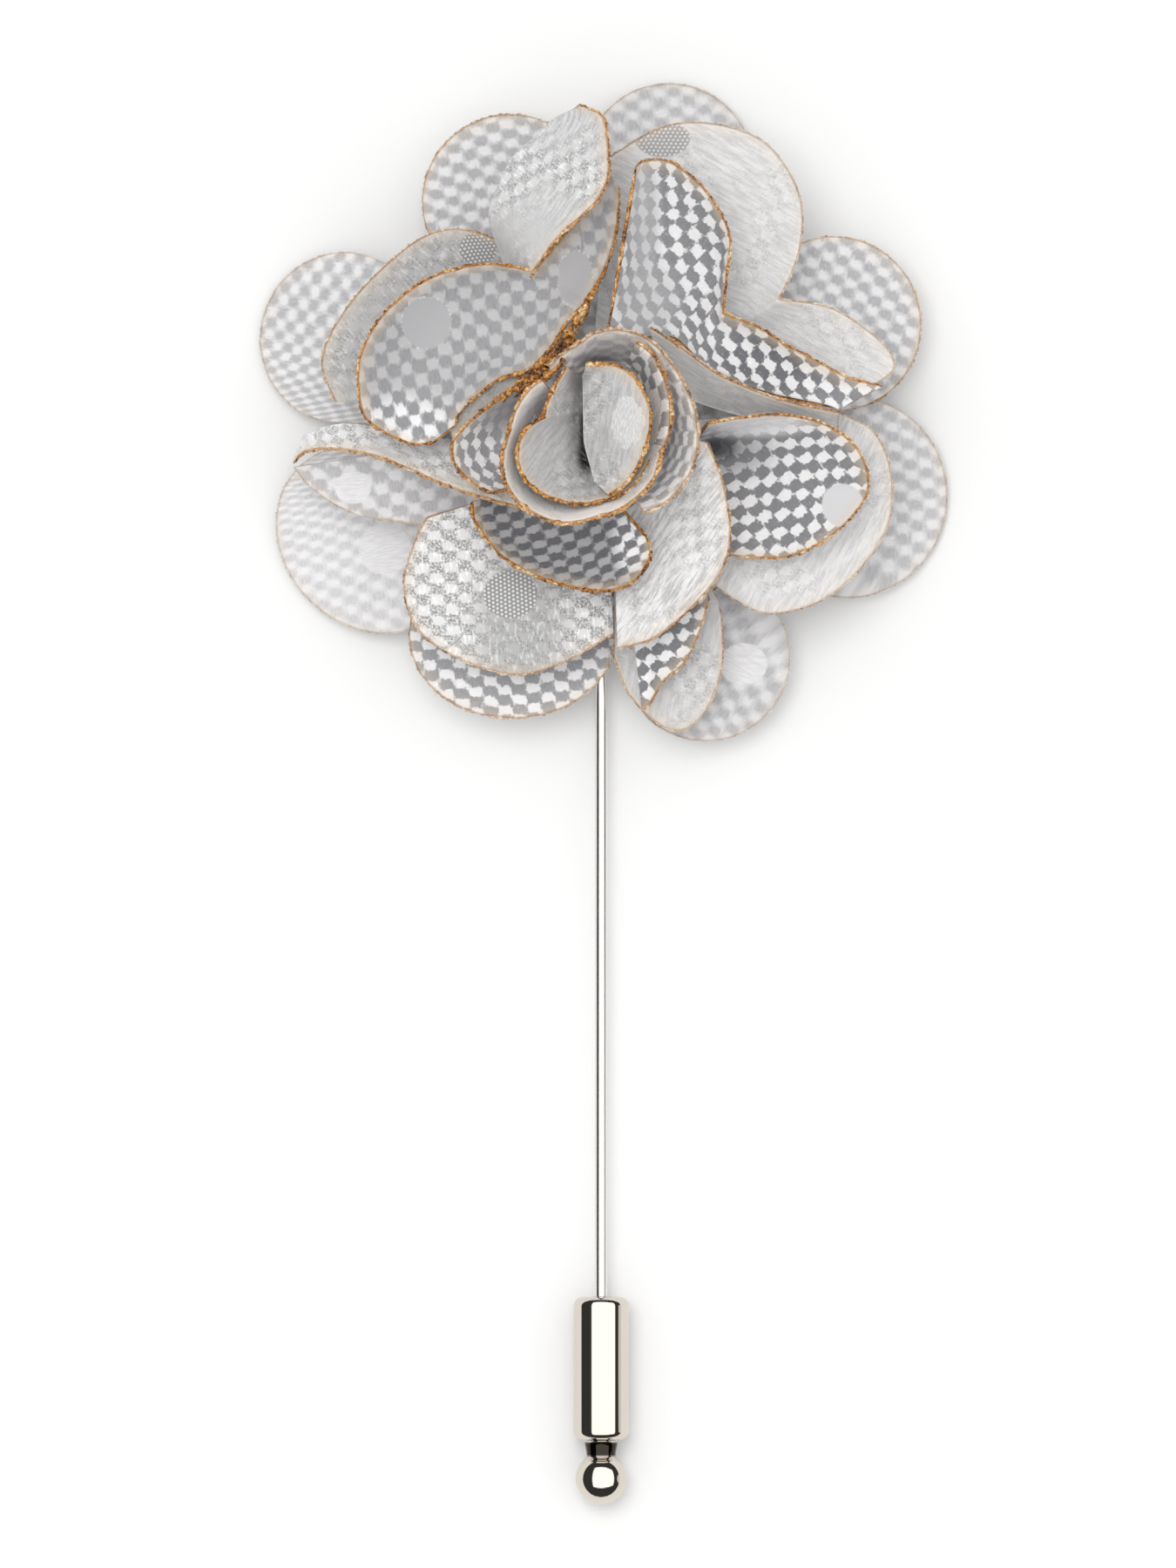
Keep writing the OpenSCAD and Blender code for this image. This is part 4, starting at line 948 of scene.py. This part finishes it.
def cloth_front(settings):
    """Grey ground with a checkerboard of white cells, plain or white dots, and a scorched edge."""
    finish, start = begin("jacquard_front")
    u, v, x, y, place, (ground, cells, blur), streaks, (rim, dot, kind, pale) = read_cloth(start, settings)
    stir = place.noise(0.9, 2.0) - 0.5
    fray = place.noise(4.6, 3.0, 0.65) - 0.5
    tooth = start.vector((x * 5.2).math("FLOOR") * 0.73, y * 0.9).noise(1.6, 1.0) - 0.5
    slant = place.noise(0.13, 1.0) * 0.16 - 0.33 + streaks
    edge = fray * 1.1 + tooth * 1.3 + 0.06
    mask = woven_checks(u + stir * 0.35, v - stir * 0.25, slant, edge, blur * 0.9 + 0.09)
    thread = start.vector(x * 2.0, y * 12.0).noise(1.0, 3.0, 0.6)
    warp = start.vector(x * 11.0, y * 1.8).noise(1.0, 2.0, 0.6)
    fine = mask.lerp(warp, thread)
    patch = place.noise(0.16, 2.0)
    level = mask.lerp(ground * (warp * 0.7 + 0.74), cells * (thread * 0.24 + 0.92)) * (patch * 0.2 + 0.9)
    fleck = start.vector(x * 1.6, y * 4.4).noise(1.3, 3.0, 0.7).step(0.60, 0.72)
    level = level + fleck * (cells - ground) * 0.45
    inside = 1 - dot.step(-0.08, 0.06)
    streak = start.vector(x * 1.1, y * 8.0).noise(1.0, 3.0, 0.62).step(0.3, 0.7)
    white = kind.step(0.4, 0.6) * (1 - kind.step(1.4, 1.6))
    plain = white.lerp(ground * 0.15 + cells * 0.80, streak * 0.16 + 0.74)
    level = inside.lerp(level, plain)
    stitched = (1 - ((dot - 0.02).math("ABSOLUTE") / 0.12).step(0.3, 1.0)) * fray.step(0.02, 0.12)
    level = (stitched * 0.6).lerp(level, 0.9)
    cool = start.node("ShaderNodeCombineColor", (), {
        0: level * 0.96, 1: level * 0.95, 2: level * 0.955 + (1 - mask) * 0.012,
    })
    color = singed(start, cool, rim, pale, place)
    raised = inside.lerp(mask, 0.5) * 0.045 + fine * 0.02
    normal = raised.node("ShaderNodeBump", (), {"Height": raised, "Distance": 0.001, "Strength": 0.55})
    return finished(
        finish, Base_Color=color, Roughness=mask * -0.12 + 0.62, Normal=normal,
        Sheen_Weight=0.25, Sheen_Roughness=0.4, Specular_IOR_Level=0.35,
    )


def cloth_reverse(settings):
    """The silk's back: white floats as checks or in long streaks over a speckled ground, and mesh dots."""
    finish, start = begin("jacquard_reverse")
    u, v, x, y, place, (ground, cells, blur), streaks, (rim, dot, kind, pale) = read_cloth(start, settings)
    stir = place.noise(1.1, 2.0) - 0.5
    fray = place.noise(4.6, 3.0, 0.65) - 0.5
    long_streak = start.vector(x * 0.5, y * 4.0).noise(1.0, 3.0, 0.62, 0.4).step(0.36, 0.62)
    short_streak = start.vector(x * 2.2, y * 13.0).noise(1.0, 2.0, 0.6).step(0.3, 0.7)
    white = woven_checks(u + stir * 0.4, v + stir * 0.3, 0.04, fray * 1.8 + 0.1, blur * 0.8 + 0.12)
    speck = place.noise(6.5, 2.0, 0.6)
    lace = speck.step(0.50, 0.60).lerp(ground - speck.step(0.36, 0.46) * 0.02, cells * 0.94)
    lace = lace - (1 - speck.step(0.34, 0.46)) * ground * 0.45
    fleck = start.vector(x * 4.4, y * 1.5).noise(1.0, 2.0, 0.6).step(0.53, 0.62)
    star = white.lerp(lace, cells)
    zone = place.noise(0.19, 1.0).step(0.40, 0.60) - 0.5
    part = (streaks + zone * 0.7).math("MAXIMUM", 0.0).math("MINIMUM", 1.0) * streaks.step(0.0, 0.1)
    satin = (long_streak * 0.7 + short_streak * 0.4).lerp(ground * 1.08, cells * 1.03).math("MINIMUM", 0.92)
    level = part.lerp(star, satin) + fleck * (1 - part) * (0.9 - ground) * 0.45
    is_mesh = kind.step(1.4, 1.6)
    is_white = kind.step(0.4, 0.6) * (1 - is_mesh)
    inside = 1 - (dot + is_white * (stir * 1.4 + 0.1)).step(-0.08, 0.06)
    weft, warp = (x * 3.4).math("FRACT") - 0.5, (y * 3.6 + (x * 3.4).math("FLOOR") * 0.5).math("FRACT") - 0.5
    mesh = 1 - ((weft * weft + warp * warp) ** 0.5).step(0.22, 0.38)
    dotted = is_mesh.lerp(is_white.lerp(level, short_streak * 0.26 + 0.53), mesh.lerp(ground * 0.72, 0.84))
    level = inside.lerp(level, dotted)
    cool = start.node("ShaderNodeCombineColor", (), {0: level * 0.955, 1: level * 0.945, 2: level * 0.945})
    color = singed(start, cool, rim, pale, place)
    raised = white * 0.025 + short_streak * 0.03 + speck * 0.02
    normal = raised.node("ShaderNodeBump", (), {"Height": raised, "Distance": 0.001, "Strength": 0.5})
    return finished(
        finish, Base_Color=color, Roughness=long_streak * -0.1 + 0.5, Normal=normal,
        Sheen_Weight=0.3, Sheen_Roughness=0.35, Specular_IOR_Level=0.45,
    )


def singed_thread():
    """Melted and scorched thread: ochre with dark specks and pale specks, partly pale melted thread and
    partly painted glints, and paler on the rear petals.
    """
    finish, start = begin("singed_thread")
    place = start.node("ShaderNodeTexCoord", (), (), "Object")
    pale = start.attribute("pale", "Fac")
    coarse = place.noise(620.0, 3.0, 0.6)
    fine = place.noise(3600.0, 2.0, 0.7)
    mixed = coarse * 0.42 + fine * 0.58 + pale * 0.05
    # the last stop's pale beige is partly pale melted thread and partly painted glints (painted highlight)
    burnt = mixed.node("ShaderNodeValToRGB", {"stops": [
        (0.37, (0.04, 0.018, 0.01)), (0.43, (0.20, 0.07, 0.016)), (0.50, (0.50, 0.205, 0.035)),
        (0.56, (0.66, 0.35, 0.10)), (0.64, (0.88, 0.76, 0.54)),
    ]}, {"Fac": mixed})
    tan = mixed.node("ShaderNodeValToRGB", {"stops": [
        (0.38, (0.34, 0.22, 0.12)), (0.50, (0.62, 0.50, 0.36)), (0.62, (0.80, 0.74, 0.66)),
    ]}, {"Fac": mixed})
    color = pale.blend(burnt, tan)
    normal = fine.node("ShaderNodeBump", (), {"Height": fine, "Distance": 0.0002, "Strength": 0.7})
    return finished(
        finish, Base_Color=color, Roughness=fine * 0.4 + 0.3, Normal=normal, Specular_IOR_Level=0.5,
    )


def loose_fibre():
    """Fine pale threads that catch the light."""
    finish, start = begin("loose_fibre")
    place = start.node("ShaderNodeTexCoord", (), (), "Object")
    shade = place.noise(700.0, 1.0)
    color = shade.node("ShaderNodeValToRGB", {"stops": [
        (0.40, (0.62, 0.50, 0.36)), (0.60, (0.90, 0.88, 0.84)),
    ]}, {"Fac": shade})
    return finished(finish, Base_Color=color, Roughness=0.5)


def plated_metal(name, color, roughness, grain, painted_neck_reflection=None):
    """Bright nickel plate: a mirror with the faintest turning marks and patchy haze. Between the two places
    along y that its last argument gives, in metres, it is painted nearly black, a painted dark reflection,
    because a neck mirrors only its own corners."""
    finish, start = begin(name)
    place = start.node("ShaderNodeTexCoord", (), (), "Object")
    x, y, z = place.parts()
    turned = start.vector(x * 40.0, y * 9000.0, z * 40.0).noise(1.0, 2.0, 0.6)
    haze = place.noise(420.0, 3.0, 0.6)
    rough = haze * roughness + roughness * 0.5
    normal = turned.node("ShaderNodeBump", (), {"Height": turned, "Distance": 0.00001, "Strength": grain})
    tone = (haze * 0.2 + 0.4).blend((*color, 1), tuple(c * 0.93 for c in color) + (1,))
    # painted reflection: the neck's colour is painted nearly black for the dark that it mirrors
    if painted_neck_reflection:
        low, high = painted_neck_reflection
        inside = y.step(low, low + 0.3 * MM) * (1 - y.step(high - 0.2 * MM, high))
        tone = (inside * 0.97).blend(tone, (0.018, 0.013, 0.01, 1))
    return finished(finish, Base_Color=tone, Metallic=1.0, Roughness=rough, Normal=normal)


def lathe(profile, y_start, axis_height, sides=96):
    """A turned piece: a profile of distances along the needle and radii, in mm, carried round its axis."""
    along_y, radius = np.array(profile, float).T
    turn = np.arange(sides) / sides * 2 * np.pi
    points = np.stack([
        radius[:, None] * np.sin(turn),
        np.broadcast_to((y_start - along_y)[:, None], (len(radius), sides)),
        axis_height + radius[:, None] * np.cos(turn),
    ], axis=-1)
    at = np.arange(len(radius) * sides).reshape(-1, sides)
    near, far = at[:-1], at[1:]
    faces = np.stack([near, far, np.roll(far, -1, 1), np.roll(near, -1, 1)], axis=-1).reshape(-1, 4)
    return points.reshape(-1, 3), faces


def turned_piece(name, parts, finish):
    """One smooth mesh of several parts, each its points in mm and its faces."""
    points, faces, count = [], [], 0
    for p, f in parts:
        points.append(p)
        faces.append(f + count)
        count += len(p)
    mesh = bpy.data.meshes.new(name)
    mesh.from_pydata((np.concatenate(points) * MM).tolist(), [], np.concatenate(faces).tolist())
    mesh.materials.append(finish)
    mesh.polygons.foreach_set("use_smooth", np.ones(len(mesh.polygons), bool))
    mesh.validate()
    return placed(name, mesh)


def rounded(y, radius, corner, direction, steps=8):
    """A quarter circle on a profile, from the end face to the wall or back."""
    turn = np.linspace(0, np.pi / 2, steps)
    if direction > 0:
        return [(y + corner * (1 - np.cos(t)), radius - corner * (1 - np.sin(t))) for t in turn]
    return [(y - corner * (1 - np.cos(t)), radius - corner * (1 - np.sin(t))) for t in turn[::-1]]


class ClothSettings(bpy.types.PropertyGroup):
    thickness: bpy.props.FloatProperty(
        name="Cloth thickness", description="Thickness of the silk in mm", default=0.34, min=0.1, max=0.9)
    bead: bpy.props.FloatProperty(
        name="Singed bead", description="Radius of the melted edge in mm", default=0.085, min=0.02, max=0.3)
    ruffle: bpy.props.FloatProperty(
        name="Ruffle", description="Rise and fall of the rims in mm", default=0.14, min=0, max=0.4)
    cell_long: bpy.props.FloatProperty(
        name="Cell length", description="Size of a woven cell along the weft in mm",
        default=1.03, min=0.3, max=4)
    cell_short: bpy.props.FloatProperty(
        name="Cell height", description="Size of a woven cell across the weft in mm",
        default=0.72, min=0.3, max=4)


class MetalSettings(bpy.types.PropertyGroup):
    plate: bpy.props.FloatVectorProperty(
        name="Plate", description="Colour of the nickel plate", subtype="COLOR", size=3,
        default=(0.72, 0.66, 0.59), min=0, max=1)
    polish: bpy.props.FloatProperty(
        name="Roughness", description="Roughness of the plate", subtype="FACTOR",
        default=0.05, min=0, max=1)


class StageSettings(bpy.types.PropertyGroup):
    sky: bpy.props.FloatProperty(
        name="Soft light", description="Strength of the light from all round", default=0.88, min=0, max=5)
    key: bpy.props.FloatProperty(
        name="Key light", description="Power of the large lamp", unit="POWER",
        default=2.3, min=0, max=100)


def finish_named(name, make, *details):
    """The material of this name, made only once."""
    return bpy.data.materials.get(name) or make(*details)


def cloth_finishes():
    """A cloth's materials, in the order of their indices."""
    settings = bpy.context.scene.lapel_cloth
    return [
        finish_named("jacquard_front", cloth_front, settings),
        finish_named("jacquard_reverse", cloth_reverse, settings),
        finish_named("singed_thread", singed_thread),
        finish_named("loose_fibre", loose_fibre),
    ]


def begin_cloth(name, seed):
    settings = bpy.context.scene.lapel_cloth
    return Cloth(name, settings.thickness, settings.bead, seed)


def declare(piece, cloth, nodes):
    """Ties a piece of cloth and its loose fibres to the flower's frame and hides the parts they stand for. It
    was cut from a square that its area fills by four fifths; the side of that square is worked out but not
    used.
    """
    fibres = cloth.make_fibres(cloth_finishes()[LOOSE])
    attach(fibres, "flower")
    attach(piece, "flower")
    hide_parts(*nodes)
    area = cloth.area * MM * MM
    side = (area / 0.8) ** 0.5


class LAPEL_OT_petals(bpy.types.Operator):
    """Shape the petals of each folded disc of silk, each disc's petals as one piece of cloth"""

    bl_idname = "lapel.petals"
    bl_label = "Folded petals"

    def execute(self, context):
        settings = context.scene.lapel_cloth
        for seed, (name, nodes) in enumerate(FOLDED.items()):
            cloth = begin_cloth(name, seed + 1)
            for node in nodes:
                points, uv = petal_grid(node, settings.ruffle)
                cloth.sheet(
                    points, uv, LOOKS[node], DOTS.get(node, ()), PATCHES.get(node, ()),
                    root_bead=node in SINGED_ROOTS, ends_bead=SINGED_ENDS.get(node, ()),
                )
            piece = cloth.make(cloth_finishes())
            declare(piece, cloth, [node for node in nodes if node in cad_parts])
        return {"FINISHED"}


class LAPEL_OT_discs(bpy.types.Operator):
    """Lay the two scalloped discs behind the petals"""

    bl_idname = "lapel.discs"
    bl_label = "Rear discs"

    def execute(self, context):
        lobe_blend = 22
        for seed, (name, (middle, lobes)) in enumerate(DISCS.items()):
            cloth = begin_cloth(name + "_cloth", seed + 21)
            azimuth = np.arange(0, 360, 1.0)
            share = 1 - (1 - np.linspace(0.16, 1, 34)) ** 1.25
            points = disc_surface(middle, lobes, azimuth, share)
            points[..., 2] = np.maximum(points[..., 2], settings_half(context))
            weaves = np.array(LOBE_WEAVES[name], float)
            near = np.exp(-(angles_from(azimuth, weaves[:, 0]) / lobe_blend) ** 2)
            total = near.sum(1, keepdims=True)
            turn, ground, cells, blur = (near @ weaves[:, k:k + 1] / total for k in range(1, 5))
            c, s = np.cos(np.radians(turn)), np.sin(np.radians(turn))
            uv = np.stack([
                points[..., 0] * c + points[..., 1] * s,
                points[..., 1] * c - points[..., 0] * s,
            ], axis=-1)
            look = Look(True, 0, 1.0, 1.0, ground, cells, blur, 0.3, DISC_PALE[name])
            cloth.sheet(points, uv, look, DOTS.get(name, ()), ring=True)
            piece = cloth.make(cloth_finishes())
            declare(piece, cloth, [name])
        return {"FINISHED"}


def settings_half(context):
    """The lowest that a cloth's middle may lie, in mm, so that its bead rests on the surface."""
    return max(context.scene.lapel_cloth.thickness / 2, context.scene.lapel_cloth.bead)


class LAPEL_OT_bud(bpy.types.Operator):
    """Roll the bud: two leaves with a slit between them, the collars round them and the melted strands beside
    them
    """

    bl_idname = "lapel.bud"
    bl_label = "Rolled bud"

    def execute(self, context):
        cloth = begin_cloth("bud_cloth", 31)
        for node in ("bud_right_leaf", "bud_left_leaf"):
            points, uv = petal_grid(node, 0.0, rows_fine=12, across=44)
            cloth.sheet(points, uv, LOOKS[node], DOTS.get(node, ()), PATCHES.get(node, ()))
        for node, (top, lean, depth, table) in WRAPS.items():
            s = np.linspace(0, len(table) - 1, (len(table) - 1) * 12 + 1)
            v = 1 - (1 - np.linspace(0, 1, 18)) ** 1.3
            points = wrap_surface(top, lean, depth, table, s, v)
            around = np.concatenate([[0], np.cumsum(length(np.diff(points[:, -1], axis=0)))])
            wall = v * (depth + lean * 0.4)
            uv = np.stack(np.broadcast_arrays(around[:, None], wall[None, :]), axis=-1)
            turned = FRONT_ROWS.get(node, 0)
            if turned:
                cloth.sheet(points[:turned + 1], uv[:turned + 1], LOOKS["turned_collar"])
            cloth.sheet(points[turned:], uv[turned:], LOOKS[node], (), PATCHES.get(node, ()))
        for thick, pale, strand in BURNT_STRANDS:
            strand = np.array(strand) * [FLOWER_R, FLOWER_R, 1]
            rows = np.arange(len(strand))
            places = np.linspace(0, rows[-1], 60)
            path = np.stack([np.interp(places, rows, column) for column in strand.T], axis=-1)
            cloth.singe(path, swell=thick, pale=pale)
        piece = cloth.make(cloth_finishes())
        nodes = ["bud_right_leaf", "bud_left_leaf", "bud_outer_wrap", "bud_middle_wrap"]
        declare(piece, cloth, nodes)
        return {"FINISHED"}


class LAPEL_OT_stem(bpy.types.Operator):
    """Wind the stem that carries the bud, wider towards the collars"""

    bl_idname = "lapel.stem"
    bl_label = "Stem"

    def execute(self, context):
        low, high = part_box("bud_stem")
        middle = [(a + b) / 2 / MM for a, b in zip(low, high)]
        radius = (high.x - low.x) / 2 / MM
        cloth = begin_cloth("stem_cloth", 41)
        turn = np.linspace(0, 5 * np.pi, 260)
        reach = np.linspace(radius - 1.35, radius - 0.2, 260)
        height = np.linspace(low.z / MM + 0.05, high.z / MM - 0.05, 16)
        flare = 1 + 0.6 * np.linspace(0, 1, 16) ** 1.6
        x = middle[0] + (reach * np.cos(turn))[:, None] * flare
        y = middle[1] + (reach * np.sin(turn))[:, None] * flare
        points = np.stack(np.broadcast_arrays(x, y, height[None, :]), axis=-1)
        around = np.concatenate([[0], np.cumsum(length(np.diff(points[:, 0], axis=0)))])
        uv = np.stack(np.broadcast_arrays(around[:, None], height[None, :]), axis=-1)
        cloth.sheet(points, uv, LOOKS["bud_middle_wrap"])
        piece = cloth.make(cloth_finishes())
        declare(piece, cloth, ["bud_stem"])
        return {"FINISHED"}


class LAPEL_OT_metal(bpy.types.Operator):
    """Turn and plate the needle with its pad, and the cap"""

    bl_idname = "lapel.metal"
    bl_label = "Needle and cap"

    def execute(self, context):
        settings = context.scene.lapel_metal
        pale = tuple(c * 0.4 + 0.55 for c in settings.plate)
        needle_plate = plated_metal("needle_plate", pale, settings.polish * 4, 0.3)
        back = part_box("stick_pin")[1].z / MM
        cap_low, cap_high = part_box("pin_cap")
        axis = (cap_low.z + cap_high.z) / 2 / MM
        mouth = cap_high.y / MM
        neck_start = mouth - BARREL_L
        # the span of the cap's neck whose colour is painted nearly black, a painted reflection
        neck = ((neck_start - 1.3) * MM, (neck_start - 0.02) * MM)
        cap_plate = plated_metal("cap_plate", settings.plate, settings.polish, 0.3, neck)

        profile = [(0, AXIS_R), (0, TANG_R), (TANG_L - TANG_SOLDER, TANG_R), (TANG_L, NEEDLE_R)]
        profile += [(-mouth, NEEDLE_R)]
        profile += [
            (POINT_L * t - mouth, NEEDLE_R - (NEEDLE_R - POINT_R) * t**1.4) for t in np.arange(1, 7) / 6
        ]
        profile += [(POINT_L - mouth, AXIS_R)]
        shaft = lathe(profile, 0.0, axis, 64)
        pad, pad_faces = lathe([
            (0, AXIS_R), (0, PAD_R - PAD_EDGE), (PAD_EDGE, PAD_R), (PAD_H - PAD_EDGE, PAD_R),
            (PAD_H, PAD_R - PAD_EDGE), (PAD_H, AXIS_R),
        ], 0.0, 0.0)
        pad = np.stack([pad[:, 0], pad[:, 2], back + pad[:, 1]], axis=-1)
        pin = turned_piece("needle", [shaft, (pad, pad_faces[:, ::-1])], needle_plate)
        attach(pin, "flower")
        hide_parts("stick_pin")

        barrel = [(BORE_L, AXIS_R), (BORE_L, BORE_R), (BORE_LIP_L, BORE_R), (0.0, BORE_LIP_R)]
        barrel += rounded(0.0, BARREL_R, SHOULDER, 1) + rounded(BARREL_L, BARREL_R, SHOULDER, -1)
        barrel += [(BARREL_L + away, radius) for away, radius in NECK]
        ball_middle = BARREL_L + NECK_L + BALL_R
        turn = np.linspace(np.radians(35), np.pi, 28)
        barrel += [(ball_middle - BALL_R * np.cos(t), max(BALL_R * np.sin(t), AXIS_R)) for t in turn]
        cap = turned_piece("cap", [lathe(barrel, mouth, axis, 128)], cap_plate)
        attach(cap, "cap")
        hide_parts("pin_cap")
        return {"FINISHED"}


def lay_floor():
    """A white card, a hair below the rear scallops."""
    side, below = 3, 0.02 * MM
    mesh = bpy.data.meshes.new("floor")
    corners = [(-side, -side, 0), (side, -side, 0), (side, side, 0), (-side, side, 0)]
    mesh.from_pydata(corners, [], [(0, 1, 2, 3)])
    finish, _ = begin("white_card")
    mesh.materials.append(finished(
        finish, Base_Color=(0.93, 0.93, 0.925, 1), Roughness=0.9, Specular_IOR_Level=0.1))
    floor = placed("floor", mesh)
    floor.location.z = -below


def soft_room(strength):
    """Even white light for the cloth. What the metal mirrors is darker: a bright box overhead, its edges in
    degrees from straight up, a paler strip at the right, and the surface below."""
    dark, lit, strip, surface = 0.05, 1.8, 0.47, 0.53
    world = bpy.data.worlds.new("soft_room")
    world.use_nodes = True
    start = Value(world.node_tree)
    x, y, z = start.node("ShaderNodeTexCoord", (), (), "Generated").parts()
    across = x.math("ARCTAN2", z) * np.degrees(1)
    down = y.math("ARCTAN2", z) * np.degrees(1)
    box = across.step(-42, -37) * (1 - across.step(58, 62))
    box = box * down.step(-44, -39) * (1 - down.step(52, 56))
    side = x.step(0.965, 0.98)
    below = 1 - z.step(-0.04, 0.0)
    bright = box.math("MAXIMUM", side * strip).math("MAXIMUM", below * surface)
    glossy = start.node("ShaderNodeLightPath", (), (), "Is Glossy Ray")
    level = 1 - glossy * (1 - dark - bright * lit)
    background = world.node_tree.nodes["Background"]
    world.node_tree.links.new((level * strength).socket, background.inputs["Strength"])
    background.inputs["Color"].default_value = (1.0, 1.0, 1.0, 1)
    return world


def hang_lamp(power):
    """One large round lamp above the upper left of the flower, which the metal doesn't mirror."""
    lamp = bpy.data.lights.new("key", "AREA")
    lamp.shape, lamp.size, lamp.energy = "DISK", 0.5, power
    key = bpy.data.objects.new("key", lamp)
    key.location = (-0.13, 0.17, 0.85)
    key.rotation_euler = (np.radians(-11), np.radians(-9), 0)
    key.visible_glossy = False
    bpy.context.scene.collection.objects.link(key)


def overhead_camera():
    """A camera far above the flower, aimed 20 mm further along the surface towards the cap."""
    distance, leaning, frame_height, film = 3.0, 0.02, 0.1125, 36
    camera = bpy.data.objects.new("camera", bpy.data.cameras.new("camera"))
    camera.location = (-0.94 * MM, -6 * MM, distance)
    camera.rotation_euler.x = -leaning / distance
    camera.data.sensor_width = film
    camera.data.lens = film * distance / frame_height
    camera.data.clip_end = 10
    bpy.context.scene.collection.objects.link(camera)
    return camera


class LAPEL_OT_stage(bpy.types.Operator):
    """Lay a white floor, light it softly and look straight down on the pin"""

    bl_idname = "lapel.stage"
    bl_label = "Stage"

    def execute(self, context):
        settings = context.scene.lapel_stage
        lay_floor()
        context.scene.world = soft_room(settings.sky)
        hang_lamp(settings.key)
        context.scene.camera = overhead_camera()
        context.scene.view_settings.view_transform = "Standard"
        return {"FINISHED"}


class LAPEL_PT_panel(bpy.types.Panel):
    """Lists the steps that build the pin"""

    bl_label = "Flower lapel pin"
    bl_idname = "LAPEL_PT_panel"
    bl_space_type = "VIEW_3D"
    bl_region_type = "UI"
    bl_category = "Lapel pin"

    def draw(self, context):
        for group in (context.scene.lapel_cloth, context.scene.lapel_metal, context.scene.lapel_stage):
            for name in group.__annotations__:
                self.layout.prop(group, name)
        for step in STEPS:
            self.layout.operator(step.bl_idname)


STEPS = (LAPEL_OT_stage, LAPEL_OT_discs, LAPEL_OT_petals, LAPEL_OT_bud, LAPEL_OT_stem, LAPEL_OT_metal)
GROUPS = (ClothSettings, MetalSettings, StageSettings)
CLASSES = (*GROUPS, *STEPS, LAPEL_PT_panel)


def register():
    for cls in CLASSES:
        bpy.utils.register_class(cls)
    bpy.types.Scene.lapel_cloth = bpy.props.PointerProperty(type=ClothSettings)
    bpy.types.Scene.lapel_metal = bpy.props.PointerProperty(type=MetalSettings)
    bpy.types.Scene.lapel_stage = bpy.props.PointerProperty(type=StageSettings)


def unregister():
    del bpy.types.Scene.lapel_stage
    del bpy.types.Scene.lapel_metal
    del bpy.types.Scene.lapel_cloth
    for cls in reversed(CLASSES):
        bpy.utils.unregister_class(cls)


def main():
    register()
    for step in STEPS:
        getattr(bpy.ops.lapel, step.bl_idname.split(".")[1])()


if __name__ == "__main__":
    main()
